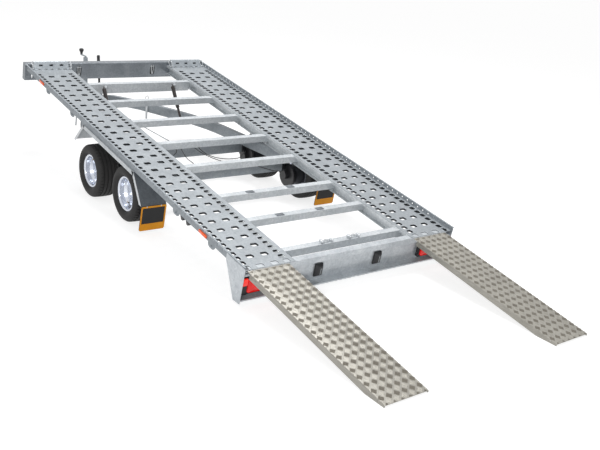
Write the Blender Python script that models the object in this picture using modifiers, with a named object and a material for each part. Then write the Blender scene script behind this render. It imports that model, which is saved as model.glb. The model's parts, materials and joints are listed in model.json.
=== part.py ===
"""Two-axle car trailer with a tilting bed, shown with the bed tipped back and both loading ramps down.

Metres, +Z up, +Y towards the coupling, +X to the right. Heights start at the ground. The chassis is laid out in
(x, y, z) with y = 0 under the rear edge of the tipped bed. The bed is laid out in (x, s, n): s runs along the bed
from its rear edge and n is square to it, 0 at the top of the outer rails' lips.
"""

import math

import bmesh
import bpy
from mathutils import Matrix, Vector

# Fits
SEAT = 0.0003
RUNNING = 0.0008
WELD = 0.0005

# Bed
BED_WIDTH = 2.0
BED_LENGTH = 4.07
BED_TILT = math.radians(8.78)
REAR_LIP_HEIGHT = 0.297
SHEET = 0.003
TRACK_INNER_X = 0.56
TREAD_DROP = 0.035
TREAD_REAR_S = 0.018
LIP_WIDTH = 0.0135
RAIL_HEIGHT = 0.058
RAIL_FOOT = 0.05
CHANNEL_WEB_X = 0.60
CHANNEL_HEIGHT = 0.08
FRONT_BEAM_HEIGHT = 0.166
FRONT_BEAM_DEPTH = 0.066
REAR_BEAM_HEIGHT = 0.225
REAR_BEAM_DEPTH = 0.05
REAR_BAND_HEIGHT = 0.045
CORNER_TOP_LENGTH = 0.232
CORNER_FOOT_LENGTH = 0.08
CORNER_FOOT_DROP = 0.285
CROSSMEMBER_SHARES = (0.0467, 0.1597, 0.2580, 0.3931, 0.5086, 0.6314, 0.7518)
CROSSMEMBER_WIDTH = 0.05
CROSSMEMBER_HEIGHT = 0.056
CROSSMEMBER_WALL = 0.004
CROSSMEMBER_DROP = 0.006
DAMPER_BEAM_S = 3.53
DAMPER_BEAM_HEIGHT = 0.094

# Holes pressed in the tracks
HOLE_PITCH = 0.127
HOLE_LENGTH = 0.048
HOLE_WIDTH = 0.024
HOLE_FIRST_S = 0.047
HOLE_COUNT = 30
HOLE_COLUMNS_X = (0.72, 0.84)

# Wheel stops
STOP_S = 3.95
STOP_HEIGHT = 0.062
STOP_FOOT = 0.03
STOP_LEAN = 0.04
STOP_LENGTH = 0.44

# Mudguards and flaps
GUARD_OUTER_X = 0.998
GUARD_WIDTH = 0.223
GUARD_SHEET = 0.002
GUARD_FRONT_S = 2.60
GUARD_FRONT_TIP_S = 2.76
GUARD_FRONT_TIP_DROP = 0.262
GUARD_REAR_S = 1.62
GUARD_REAR_TIP_S = 1.437
GUARD_REAR_TIP_DROP = 0.276
GUARD_REAR_LIP = 0.022
GUARD_SKIRT_DROP = 0.095
FLAP_HEIGHT = 0.218
FLAP_THICKNESS = 0.006

# Ramps
RAMP_LENGTH = 1.40
RAMP_WIDTH = 0.343
RAMP_PLATE = 0.004
RAMP_FLANGE = 0.042
RAMP_TIP_FLANGE = 0.014
RAMP_TAPER = 0.16
RAMP_HINGE_S = 0.010
RAMP_HEEL = 0.03
RAMP_LEFT_INSET = 0.205
RAMP_RIGHT_INSET = 0.257
RAMP_PIN_RADIUS = 0.004
RAMP_EAR_SPREAD = 0.12
RAMP_EAR_RADIUS = 0.007
RAMP_EAR_THICKNESS = 0.005
RAMP_EAR_GAP = 0.002

# Pivot of the bed on the chassis
PIVOT_Y = 2.163
PIVOT_Z = 0.50
PIVOT_PIN_RADIUS = 0.012
PIVOT_LUG_RADIUS = 0.03
PIVOT_LUG_THICKNESS = 0.008
PIVOT_LUG_SPREAD = 0.055
PIVOT_EAR_GAP = 0.005
PIVOT_EAR_RADIUS = 0.025
PIVOT_EAR_SPREAD = 0.045

# Chassis
ARM_PATH = ((0.600, 1.845), (0.600, 2.90), (0.585, 3.12), (0.530, 3.40), (0.443, 3.70), (0.315, 4.09), (0.115, 4.46))
ARM_WIDTH = 0.05
ARM_HEIGHT = 0.095
AXLE_SIZE = 0.09
AXLE_LENGTH = 1.29
AXLE_TOP_Z = 0.36
WHEEL_RADIUS = 0.234
WHEEL_REAR_Y = 1.821
WHEELBASE = 0.684
WHEEL_REACH = 0.235
SWING_LEAD = 0.075
SWING_THICKNESS = 0.04
SWING_END_RADIUS = 0.036
BACKPLATE_RADIUS = 0.112
BACKPLATE_REACH = 0.02
SPINDLE_RADIUS = 0.02
FRONT_PLATE_THICKNESS = 0.008
FRONT_PLATE_HALF = 0.175
HOUSING_LENGTH = 0.45
HOUSING_WIDTH = 0.09
HOUSING_HEIGHT = 0.11
GAITER_RADIUS = 0.042
COUPLING_Z = 0.43
COUPLING_LENGTH = 0.17
COUPLING_NOSE_Y = 5.33
COUPLING_WIDTH = 0.075
COUPLING_HEIGHT = 0.07
COUPLING_WALL = 0.006

# Tyres and rims
TYRE_HALF_WIDTH = 0.1
RIM_HALF_WIDTH = 0.076
RIM_FLANGE_RADIUS = 0.1443
BEAD_RADIUS = 0.127
WELL_RADIUS = 0.11
RIM_WALL = 0.003
DISC_DEPTH = 0.012
DRUM_RADIUS = 0.095
DRUM_GAP = 0.0167
HUB_RADIUS = 0.045

# Jockey wheel
JOCKEY_X = -0.118
JOCKEY_Y = 4.56
JOCKEY_WHEEL_RADIUS = 0.1
JOCKEY_WHEEL_WIDTH = 0.05
JOCKEY_TUBE_RADIUS = 0.024
JOCKEY_TUBE_WALL = 0.003
JOCKEY_TUBE_BOTTOM_Z = 0.34
JOCKEY_TUBE_TOP_Z = 0.86
JOCKEY_TRAIL = 0.03
JOCKEY_PIN_RADIUS = 0.008
CRANK_REACH = 0.12
CRANK_RADIUS = 0.008
KNOB_HEIGHT = 0.07

# Handbrake
BRAKE_X = 0.08
BRAKE_Y = 4.62
BRAKE_TOP = Vector((0.04, 4.58, 0.86))
BRAKE_RADIUS = 0.012

# Dampers between the bed and a bar across the arms, both hung on the same side of their tabs
DAMPER_X = 0.38
DAMPER_SHIFT = -0.035
DAMPER_TOP_S = 3.475
DAMPER_TOP_DROP = 0.065
DAMPER_FOOT_Y = 3.235
DAMPER_FOOT_Z = 0.445
DAMPER_TUBE_RADIUS = 0.019
DAMPER_TUBE_BORE = 0.016
DAMPER_ROD_RADIUS = 0.0125
DAMPER_RING_WALL = 0.004
DAMPER_RING_WIDTH = 0.01
DAMPER_TOP_PIN_RADIUS = 0.006
DAMPER_FOOT_PIN_RADIUS = 0.004
DAMPER_FOOT_PLAY = 0.0075
DAMPER_FOOT_TABS = 0.0175
DAMPER_CAP = 0.017
CROSSBAR_SIZE = 0.035
CROSSBAR_SETBACK = 0.035

# Lamps
LAMP_WIDTH = 0.28
LAMP_HEIGHT = 0.13
LAMP_DEPTH = 0.03
LENS_MARGIN = 0.012
LENS_DEPTH = 0.014
PLATE_LAMP_X = (-0.363, 0.196)
PLATE_LAMP_DROP = 0.135
PLATE_LAMP_DEPTH = 0.03

COLLECTION = bpy.data.collections.new("car_trailer")
CUTTERS = bpy.data.collections.new("cutters")


def clear_scene():
    for obj in list(bpy.data.objects):
        bpy.data.objects.remove(obj, do_unlink=True)
    bpy.context.scene.collection.children.link(COLLECTION)
    bpy.context.scene.collection.children.link(CUTTERS)


def material(name, colour, roughness, metallic):
    made = bpy.data.materials.new(name)
    made.use_nodes = True
    shader = made.node_tree.nodes["Principled BSDF"]
    shader.inputs["Base Color"].default_value = (*colour, 1.0)
    shader.inputs["Roughness"].default_value = roughness
    shader.inputs["Metallic"].default_value = metallic
    made.diffuse_color = (*colour, 1.0)
    return made


GALVANISED = material("galvanised_steel", (0.46, 0.48, 0.50), 0.45, 1.0)
ALUMINIUM = material("chequer_aluminium", (0.58, 0.57, 0.54), 0.4, 1.0)
RIM_SILVER = material("rim_silver", (0.60, 0.62, 0.68), 0.3, 1.0)
TYRE_RUBBER = material("tyre_rubber", (0.015, 0.015, 0.016), 0.85, 0.0)
BLACK_RUBBER = material("black_rubber", (0.02, 0.02, 0.02), 0.8, 0.0)
BLACK_PAINT = material("black_paint", (0.015, 0.015, 0.017), 0.4, 0.0)
BLACK_PLASTIC = material("black_plastic", (0.02, 0.02, 0.022), 0.5, 0.0)
LAMP_RED = material("lamp_red", (0.6, 0.01, 0.01), 0.15, 0.0)


def keep(obj, name, parent, finish):
    """Puts a finished object in the trailer's collection, under its parent, with its own finish."""
    for collection in list(obj.users_collection):
        collection.objects.unlink(obj)
    COLLECTION.objects.link(obj)
    obj.name = name
    obj.parent = parent
    obj.data.materials.clear()
    obj.data.materials.append(finish)
    return obj


def as_cutter(obj, parent):
    for collection in list(obj.users_collection):
        collection.objects.unlink(obj)
    CUTTERS.objects.link(obj)
    obj.parent = parent
    obj.hide_render = True
    obj.display_type = "WIRE"
    return obj


def union(obj, *others):
    for other in others:
        join = obj.modifiers.new("join", "BOOLEAN")
        join.operation = "UNION"
        join.object = as_cutter(other, obj.parent)
    return obj


def cut(obj, *others):
    for other in others:
        take = obj.modifiers.new("cut", "BOOLEAN")
        take.operation = "DIFFERENCE"
        take.object = as_cutter(other, obj.parent)
    return obj


def frame(name, parent=None, location=(0, 0, 0), tilt=0.0):
    """An empty that carries pieces, turned about X by tilt."""
    empty = bpy.data.objects.new(name, None)
    COLLECTION.objects.link(empty)
    empty.parent = parent
    empty.location = location
    empty.rotation_euler = (tilt, 0, 0)
    return empty


def mesh_object(name, bm):
    mesh = bpy.data.meshes.new(name)
    bmesh.ops.recalc_face_normals(bm, faces=bm.faces)
    bm.to_mesh(mesh)
    bm.free()
    return bpy.data.objects.new(name, mesh)


def block(name, low, high):
    """A box between two corners, given in either order."""
    bm = bmesh.new()
    size = [abs(high[i] - low[i]) for i in range(3)]
    centre = [(high[i] + low[i]) / 2 for i in range(3)]
    place = Matrix.Translation(centre) @ Matrix.Diagonal((*size, 1.0))
    bmesh.ops.create_cube(bm, size=1.0, matrix=place)
    return mesh_object(name, bm)


def rod(name, start, end, radius, segments=16):
    """A round bar between two points."""
    start = Vector(start)
    run = Vector(end) - start
    bm = bmesh.new()
    place = Matrix.Translation(start + run / 2) @ run.to_track_quat("Z", "Y").to_matrix().to_4x4()
    bmesh.ops.create_cone(bm, cap_ends=True, segments=segments, radius1=radius, radius2=radius,
                          depth=run.length, matrix=place)
    return mesh_object(name, bm)


def folded(name, profile, start, end, along="X", thickness=SHEET):
    """Sheet folded to an open profile, its middle surface given, running from start to end along X or Y."""
    bm = bmesh.new()
    first = [bm.verts.new((start, *pair) if along == "X" else (pair[0], start, pair[1])) for pair in profile]
    edges = [bm.edges.new(pair) for pair in zip(first, first[1:])]
    grown = bmesh.ops.extrude_edge_only(bm, edges=edges)["geom"]
    move = (end - start, 0, 0) if along == "X" else (0, end - start, 0)
    bmesh.ops.translate(bm, vec=move, verts=[v for v in grown if isinstance(v, bmesh.types.BMVert)])
    obj = mesh_object(name, bm)
    solid = obj.modifiers.new("sheet", "SOLIDIFY")
    solid.thickness = thickness
    solid.offset = 0
    solid.use_even_offset = True
    return obj


def arc(centre, radius, start, end, steps):
    """Points on an arc, angles in degrees."""
    points = []
    for i in range(steps + 1):
        angle = math.radians(start + (end - start) * i / steps)
        points.append((centre[0] + radius * math.cos(angle), centre[1] + radius * math.sin(angle)))
    return points


def circle(centre, radius, steps):
    return arc(centre, radius, 0, 360, steps)[:-1]


def plate(name, outline, thickness, holes=()):
    """A flat plate from a closed outline, in its own XY plane, as a mesh."""
    curve = bpy.data.curves.new(name, "CURVE")
    curve.dimensions = "2D"
    curve.fill_mode = "BOTH"
    curve.extrude = thickness / 2
    for ring in (outline, *holes):
        spline = curve.splines.new("POLY")
        spline.points.add(len(ring) - 1)
        for point, (u, v) in zip(spline.points, ring):
            point.co = (u, v, 0, 1)
        spline.use_cyclic_u = True
    drawn = bpy.data.objects.new(name, curve)
    bpy.context.scene.collection.objects.link(drawn)
    bpy.context.view_layer.update()
    graph = bpy.context.evaluated_depsgraph_get()
    mesh = bpy.data.meshes.new_from_object(drawn.evaluated_get(graph))
    bpy.data.objects.remove(drawn, do_unlink=True)
    bm = bmesh.new()
    bm.from_mesh(mesh)
    bmesh.ops.remove_doubles(bm, verts=bm.verts, dist=0.00001)
    bm.to_mesh(mesh)
    bm.free()
    return bpy.data.objects.new(name, mesh)


def side_plate(name, outline, x, thickness, holes=()):
    """A plate square to X, centred on x, its outline in (y, z)."""
    obj = plate(name, outline, thickness, holes)
    obj.data.transform(Matrix(((0, 0, 1, x), (1, 0, 0, 0), (0, 1, 0, 0), (0, 0, 0, 1))))
    return obj


def level_plate(name, outline, z, thickness, holes=()):
    """A plate square to Z, centred on z, its outline in (x, y)."""
    obj = plate(name, outline, thickness, holes)
    obj.data.transform(Matrix.Translation((0, 0, z)))
    return obj


def turned(name, profile, steps, place=Matrix()):
    """A solid turned about its own Z from a profile of (radius, height), read down its outer side, then placed."""
    mesh = bpy.data.meshes.new(name)
    bm = bmesh.new()
    verts = [bm.verts.new((radius, 0, height)) for radius, height in profile]
    for pair in zip(verts, verts[1:]):
        bm.edges.new(pair)
    if profile[0][0] > 0:
        bm.edges.new((verts[-1], verts[0]))
    bm.to_mesh(mesh)
    bm.free()
    obj = bpy.data.objects.new(name, mesh)
    screw = obj.modifiers.new("turn", "SCREW")
    screw.steps = steps
    screw.render_steps = steps
    screw.use_merge_vertices = True
    screw.merge_threshold = 0.0001
    screw.use_smooth_shade = True
    obj.matrix_basis = place
    return obj


def onto_x(side, point):
    """Turns a solid's own Z to point outwards on one side."""
    return Matrix.Translation(point) @ Matrix.Rotation(math.radians(90) * side, 4, "Y")


def sided(side, points):
    """Points given for the right-hand side, for side 1 or -1."""
    return [(side * x, y) for x, y in points]


def offset_path(path, distance):
    """The path moved sideways, to its right when followed from its first point."""
    moved = []
    for i, (x, y) in enumerate(path):
        before, after = path[max(i - 1, 0)], path[min(i + 1, len(path) - 1)]
        first = Vector((x - before[0], y - before[1]))
        second = Vector((after[0] - x, after[1] - y))
        if first.length == 0:
            first = second
        if second.length == 0:
            second = first
        first.normalize()
        second.normalize()
        across = Vector((first.y + second.y, -first.x - second.x)).normalized()
        reach = distance / across.dot(Vector((first.y, -first.x)))
        moved.append((x + across.x * reach, y + across.y * reach))
    return moved


def arm_inner(y):
    """How far out the arm's inner face lies at a place along the chassis."""
    for (x0, y0), (x1, y1) in zip(ARM_PATH, ARM_PATH[1:]):
        if y0 <= y <= y1:
            return x0 + (x1 - x0) * (y - y0) / (y1 - y0)
    return ARM_PATH[0][0]


# Places that follow from the sizes
HALF = BED_WIDTH / 2
SIDES = (("left", -1), ("right", 1))
PIVOT_S = PIVOT_Y * math.cos(BED_TILT) + (PIVOT_Z - REAR_LIP_HEIGHT) * math.sin(BED_TILT)
PIVOT_N = -PIVOT_Y * math.sin(BED_TILT) + (PIVOT_Z - REAR_LIP_HEIGHT) * math.cos(BED_TILT)
TREAD_BOTTOM_N = -TREAD_DROP - SHEET
RAIL_X = HALF - LIP_WIDTH
RAIL_BOTTOM_N = -RAIL_HEIGHT - SHEET / 2
FRONT_WEB_S = BED_LENGTH - SHEET / 2
FRONT_REAR_S = BED_LENGTH - FRONT_BEAM_DEPTH
CHANNEL_TOP_N = TREAD_BOTTOM_N - SHEET / 2 + WELD
CHANNEL_BOTTOM_N = CHANNEL_TOP_N - CHANNEL_HEIGHT
REAR_TOP_N = TREAD_BOTTOM_N - SEAT - SHEET / 2
REAR_FOOT_N = REAR_TOP_N - REAR_BEAM_HEIGHT
BAND_S = TREAD_REAR_S + SHEET
REAR_WEB_S = BAND_S + REAR_BEAM_DEPTH
STRUCTURE_START_S = REAR_WEB_S + SHEET / 2 + SEAT
LUG_X = CHANNEL_WEB_X + SHEET / 2 + PIVOT_LUG_THICKNESS / 2 - WELD
ARM_BOTTOM_Z = AXLE_TOP_Z + SEAT
ARM_TOP_Z = ARM_BOTTOM_Z + ARM_HEIGHT
EAR_X = LUG_X + PIVOT_LUG_THICKNESS + PIVOT_EAR_GAP
RAMP_LEFT_X = RAMP_LEFT_INSET - HALF
RAMP_RIGHT_X = HALF - RAMP_RIGHT_INSET
WHEEL_X = AXLE_LENGTH / 2 + WHEEL_REACH
BACKPLATE_X = AXLE_LENGTH / 2 + SEAT + SWING_THICKNESS + BACKPLATE_REACH
DRUM_BACK_X = BACKPLATE_X + DRUM_GAP


def tipped(s, n):
    """(y, z) of a place on the tipped bed."""
    y = s * math.cos(BED_TILT) - n * math.sin(BED_TILT)
    return y, REAR_LIP_HEIGHT + s * math.sin(BED_TILT) + n * math.cos(BED_TILT)


def levelled(s, n):
    """(y, z) of the same place when the bed lies level."""
    return PIVOT_Y + s - PIVOT_S, PIVOT_Z + n - PIVOT_N


RAMP_HINGE_N = -TREAD_DROP - RAMP_PLATE / 2
RAMP_HINGE_Y, RAMP_HINGE_Z = tipped(RAMP_HINGE_S, RAMP_HINGE_N)
RAMP_REACH = math.hypot(RAMP_LENGTH, RAMP_TIP_FLANGE)
RAMP_PITCH = math.asin(RAMP_HINGE_Z / RAMP_REACH) - math.atan2(RAMP_TIP_FLANGE, RAMP_LENGTH)
REARMOST_Y = RAMP_HINGE_Y - RAMP_LENGTH * math.cos(RAMP_PITCH) - RAMP_PLATE / 2 * math.sin(RAMP_PITCH)
CENTRE_Y = (COUPLING_NOSE_Y + REARMOST_Y) / 2

clear_scene()
TRAILER = frame("trailer", location=(0, -CENTRE_Y, 0))
BED = frame("bed_pivot", TRAILER, (0, PIVOT_Y, PIVOT_Z), BED_TILT)
BED_LAYOUT = frame("bed_layout", BED, (0, -PIVOT_S, -PIVOT_N))


def outer_rail(label, side):
    """Z-shaped rail: lip turned out at the top, foot turned in under the tread."""
    profile = sided(side, ((HALF, -SHEET / 2), (RAIL_X, -SHEET / 2), (RAIL_X, -RAIL_HEIGHT),
                           (RAIL_X - RAIL_FOOT, -RAIL_HEIGHT)))
    rail = folded("rail", profile, 0.0, FRONT_REAR_S - SEAT, "Y")
    return keep(rail, "outer_rail_" + label, BED_LAYOUT, GALVANISED)


def tread_holes(side):
    """Slots across the track in two columns, side by side."""
    holes = []
    for x in HOLE_COLUMNS_X:
        for i in range(HOLE_COUNT):
            s = HOLE_FIRST_S + HOLE_PITCH * i
            ring = [(x - HOLE_LENGTH / 2, s - HOLE_WIDTH / 2), (x + HOLE_LENGTH / 2, s - HOLE_WIDTH / 2),
                    (x + HOLE_LENGTH / 2, s + HOLE_WIDTH / 2), (x - HOLE_LENGTH / 2, s + HOLE_WIDTH / 2)]
            holes.append(sided(side, ring))
    return holes


def track(label, side):
    """Tread sheet, the channel welded along its inner edge and the lug that carries the pivot."""
    outer = RAIL_X - SHEET / 2 - SEAT
    front = FRONT_WEB_S - SHEET / 2 - SEAT
    outline = sided(side, ((TRACK_INNER_X, TREAD_REAR_S), (outer, TREAD_REAR_S), (outer, front),
                           (TRACK_INNER_X, front)))
    tread = level_plate("tread", outline, -TREAD_DROP - SHEET / 2, SHEET, tread_holes(side))
    keep(tread, "track_" + label, BED_LAYOUT, GALVANISED)
    profile = sided(side, ((TRACK_INNER_X, CHANNEL_TOP_N), (CHANNEL_WEB_X, CHANNEL_TOP_N),
                           (CHANNEL_WEB_X, CHANNEL_BOTTOM_N), (TRACK_INNER_X, CHANNEL_BOTTOM_N)))
    channel = folded("channel_" + label, profile, STRUCTURE_START_S, front, "Y")
    lug_top = CHANNEL_TOP_N - CHANNEL_HEIGHT / 4
    lug = arc((PIVOT_S, PIVOT_N), PIVOT_LUG_RADIUS, 180, 360, 12)
    lug += [(PIVOT_S + PIVOT_LUG_SPREAD, lug_top), (PIVOT_S - PIVOT_LUG_SPREAD, lug_top)]
    hole = circle((PIVOT_S, PIVOT_N), PIVOT_PIN_RADIUS + RUNNING, 16)
    return union(tread, channel, side_plate("lug_" + label, lug, side * LUG_X, PIVOT_LUG_THICKNESS, [hole]))


def front_beam():
    top, foot = -SHEET / 2, -FRONT_BEAM_HEIGHT
    profile = [(FRONT_REAR_S, top), (FRONT_WEB_S, top), (FRONT_WEB_S, foot), (FRONT_REAR_S, foot)]
    return keep(folded("beam", profile, -HALF, HALF), "front_beam", BED_LAYOUT, GALVANISED)


def crossmember(name, s, height, half, top):
    """A channel that opens downwards, square across the bed."""
    low, high = s - CROSSMEMBER_WIDTH / 2, s + CROSSMEMBER_WIDTH / 2
    profile = [(low, top - height), (low, top), (high, top), (high, top - height)]
    return keep(folded("channel", profile, -half, half, thickness=CROSSMEMBER_WALL), name, BED_LAYOUT, GALVANISED)


def rear_beam():
    """Lipped channel that opens to the rear, with a tapered plate at each corner."""
    inside = RAIL_X + SHEET / 2 + SEAT
    profile = [(BAND_S, REAR_TOP_N - REAR_BAND_HEIGHT), (BAND_S, REAR_TOP_N), (REAR_WEB_S, REAR_TOP_N),
               (REAR_WEB_S, REAR_FOOT_N), (SHEET / 2, REAR_FOOT_N), (SHEET / 2, REAR_FOOT_N + SHEET * 3)]
    beam = folded("beam", profile, -inside - WELD, inside + WELD)
    keep(beam, "rear_beam", BED_LAYOUT, GALVANISED)
    room = RAIL_X - RAIL_FOOT - SEAT
    cut(beam, *(block("room_" + label, (side * room, -0.02, RAIL_BOTTOM_N - SEAT), (side * HALF, 0.12, 0.0))
                for label, side in SIDES))
    outline = [(0.0, -CORNER_FOOT_DROP), (CORNER_FOOT_LENGTH, -CORNER_FOOT_DROP - 0.01),
               (CORNER_TOP_LENGTH, RAIL_BOTTOM_N), (CORNER_TOP_LENGTH, -SHEET * 5), (0.0, -SHEET * 5)]
    union(beam, *(side_plate("corner_" + label, outline, side * (inside + SHEET / 2), SHEET)
                  for label, side in SIDES))
    # Ears behind the band for the ramps' hinge pins
    centre, face = (RAMP_HINGE_S, RAMP_HINGE_N), BAND_S - SHEET / 2 + WELD
    ear = arc(centre, RAMP_EAR_RADIUS, 30, 270, 12)
    ear += [(face, REAR_TOP_N - REAR_BAND_HEIGHT / 3), (face, REAR_TOP_N), (TREAD_REAR_S - RUNNING, REAR_TOP_N)]
    hole = circle(centre, RAMP_PIN_RADIUS + RUNNING, 16)
    return union(beam, *(side_plate(f"ramp_ear_{i}", ear, middle + spread, RAMP_EAR_THICKNESS, [hole])
                         for i, (middle, spread) in enumerate(
                             (m, d) for m in (RAMP_LEFT_X, RAMP_RIGHT_X) for d in (-RAMP_EAR_SPREAD, RAMP_EAR_SPREAD))))


def wheel_stop(label, side):
    """Bent plate across the track that leans forwards."""
    foot = -TREAD_DROP + SEAT + SHEET / 2
    top = foot + STOP_HEIGHT
    profile = [(STOP_S - STOP_FOOT, foot), (STOP_S, foot), (STOP_S + STOP_LEAN, top),
               (STOP_S + STOP_LEAN + STOP_FOOT / 2, top + STOP_FOOT / 4)]
    outer = RAIL_X - SHEET / 2 - SEAT
    low, high = sorted((side * (outer - STOP_LENGTH), side * outer))
    return keep(folded("stop", profile, low, high), "wheel_stop_" + label, BED_LAYOUT, GALVANISED)


def mudguard(label, side):
    """Top sheet under the rail with a slanted leg before and behind the wheels and a skirt along the outside."""
    top = RAIL_BOTTOM_N - SEAT - GUARD_SHEET / 2
    profile = [(GUARD_REAR_TIP_S, -GUARD_REAR_TIP_DROP - GUARD_REAR_LIP), (GUARD_REAR_TIP_S, -GUARD_REAR_TIP_DROP),
               (GUARD_REAR_S, top), (GUARD_FRONT_S, top), (GUARD_FRONT_TIP_S, -GUARD_FRONT_TIP_DROP)]
    low, high = sorted((side * (GUARD_OUTER_X - GUARD_WIDTH), side * GUARD_OUTER_X))
    guard = folded("guard", profile, low, high, thickness=GUARD_SHEET)
    keep(guard, "mudguard_" + label, BED_LAYOUT, GALVANISED)
    skirt = block("skirt_" + label, (side * (GUARD_OUTER_X - GUARD_SHEET), GUARD_REAR_S, -GUARD_SKIRT_DROP),
                  (side * GUARD_OUTER_X, GUARD_FRONT_S, top))
    return union(guard, skirt)


def mud_flap(label, side):
    top = -GUARD_REAR_TIP_DROP
    front = GUARD_REAR_TIP_S - GUARD_SHEET / 2 - SEAT
    flap = block("flap", (side * (GUARD_OUTER_X - GUARD_WIDTH), front - FLAP_THICKNESS, top - FLAP_HEIGHT),
                 (side * GUARD_OUTER_X, front, top))
    return keep(flap, "mud_flap_" + label, BED_LAYOUT, BLACK_RUBBER)


def lamp(label, side):
    """Black case on the rear beam's web and a red lens with bevelled long edges on the case."""
    outer = RAIL_X - SHEET
    front = REAR_WEB_S - SHEET / 2 - SEAT
    middle = (REAR_TOP_N - REAR_BAND_HEIGHT + REAR_FOOT_N) / 2
    tall = LAMP_HEIGHT / 2
    case = block("lamp", (side * (outer - LAMP_WIDTH), front - LAMP_DEPTH, middle - tall),
                 (side * outer, front, middle + tall))
    keep(case, "rear_lamp_" + label, BED_LAYOUT, BLACK_PLASTIC)
    near = front - LAMP_DEPTH - SEAT
    high, low = tall - LENS_MARGIN, tall - LENS_MARGIN - LENS_DEPTH
    outline = [(near, middle + high), (near - LENS_DEPTH, middle + low), (near - LENS_DEPTH, middle - low),
               (near, middle - high)]
    lens = side_plate("lens", outline, side * (outer - LAMP_WIDTH / 2), LAMP_WIDTH - 2 * LENS_MARGIN)
    return keep(lens, "lamp_lens_" + label, BED_LAYOUT, LAMP_RED)


def plate_lamp(label, x):
    """Small faceted wedge on the rear beam's web, with its ridge upright."""
    wall = REAR_WEB_S - SHEET / 2 - SEAT
    ridge = wall - PLATE_LAMP_DEPTH
    foot = ((-0.026, 0.0), (-0.010, 0.030), (0.012, 0.034), (0.024, 0.014), (0.020, -0.028), (0.006, -0.034))
    tip = ((-0.002, 0.022), (0.012, 0.018), (0.010, -0.022), (-0.002, -0.018))
    bm = bmesh.new()
    for s, ring in ((wall, foot), (ridge, tip)):
        for across, up in ring:
            bm.verts.new((x + across, s, up - PLATE_LAMP_DROP))
    bmesh.ops.convex_hull(bm, input=bm.verts)
    return keep(mesh_object("wedge", bm), "plate_lamp_" + label, BED_LAYOUT, BLACK_PLASTIC)


def build_bed():
    front_beam()
    rear_beam()
    for label, side in SIDES:
        outer_rail(label, side)
        track(label, side)
        wheel_stop(label, side)
        mudguard(label, side)
        mud_flap(label, side)
        lamp(label, side)
    plate_lamp("left", PLATE_LAMP_X[0])
    plate_lamp("right", PLATE_LAMP_X[1])
    half = CHANNEL_WEB_X - SHEET / 2 - SEAT
    top = CHANNEL_TOP_N - CROSSMEMBER_DROP
    for index, share in enumerate(CROSSMEMBER_SHARES, 1):
        crossmember(f"crossmember_{index}", share * BED_LENGTH, CROSSMEMBER_HEIGHT, half, top)
    return crossmember("damper_beam", DAMPER_BEAM_S, DAMPER_BEAM_HEIGHT, TRACK_INNER_X - SEAT, top)


def ramp(label, x):
    """Chequer plate with its edges folded down, cut back at the hinge and tapered at the tip."""
    half = RAMP_WIDTH / 2 - RAMP_PLATE / 2
    profile = [(-half, -RAMP_FLANGE), (-half, 0), (half, 0), (half, -RAMP_FLANGE)]
    hinge = frame("ramp_hinge_" + label, BED_LAYOUT, (x, RAMP_HINGE_S, RAMP_HINGE_N), RAMP_PITCH - BED_TILT)
    body = folded("plate", profile, -RAMP_LENGTH, -RAMP_PLATE / 2, "Y", RAMP_PLATE)
    keep(body, "ramp_" + label, hinge, ALUMINIUM)
    below = -RAMP_FLANGE * 1.5
    taper = [(-RAMP_LENGTH * 1.01, -RAMP_TIP_FLANGE), (-RAMP_LENGTH, -RAMP_TIP_FLANGE),
             (-RAMP_LENGTH + RAMP_TAPER, -RAMP_FLANGE * 1.02), (-RAMP_LENGTH + RAMP_TAPER, below),
             (-RAMP_LENGTH * 1.01, below)]
    heel = [(-RAMP_HEEL - RAMP_FLANGE / 4, below), (RAMP_PLATE, below), (RAMP_PLATE, -RAMP_PLATE),
            (-RAMP_HEEL, -RAMP_PLATE)]
    cut(body, *(side_plate(f"{part}_{label}", outline, 0, RAMP_WIDTH * 1.1)
                for part, outline in (("taper", taper), ("heel", heel))))
    # A notch round each ear of the rear beam, bridged by a pin
    room = RAMP_EAR_THICKNESS / 2 + RAMP_EAR_GAP
    deep = RAMP_EAR_RADIUS + RAMP_EAR_GAP
    for place, middle in (("outer", -RAMP_EAR_SPREAD), ("inner", RAMP_EAR_SPREAD)):
        cut(body, block(f"notch_{place}_{label}", (middle - room, -deep, -deep), (middle + room, deep, deep)))
        union(body, rod(f"hinge_pin_{place}_{label}", (middle - room - deep, 0, 0), (middle + room + deep, 0, 0),
                        RAMP_PIN_RADIUS, 12))
    return body


def crossbar():
    """Square bar between the arms, behind the dampers' feet."""
    front = DAMPER_FOOT_Y - CROSSBAR_SETBACK
    rear = front - CROSSBAR_SIZE
    near, far = arm_inner(rear) - SEAT, arm_inner(front) - SEAT
    outline = [(-near, rear), (near, rear), (far, front), (-far, front)]
    bar = level_plate("crossbar", outline, ARM_TOP_Z - CROSSBAR_SIZE / 2, CROSSBAR_SIZE)
    return keep(bar, "damper_crossbar", TRAILER, GALVANISED)


def ring(name, bore, centre):
    """A damper's eye, its bore across the bed."""
    width, outer = DAMPER_RING_WIDTH / 2, bore + DAMPER_RING_WALL
    profile = [(bore, width), (outer, width), (outer, -width), (bore, -width)]
    return turned(name, profile, 16, onto_x(1, centre))


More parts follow.
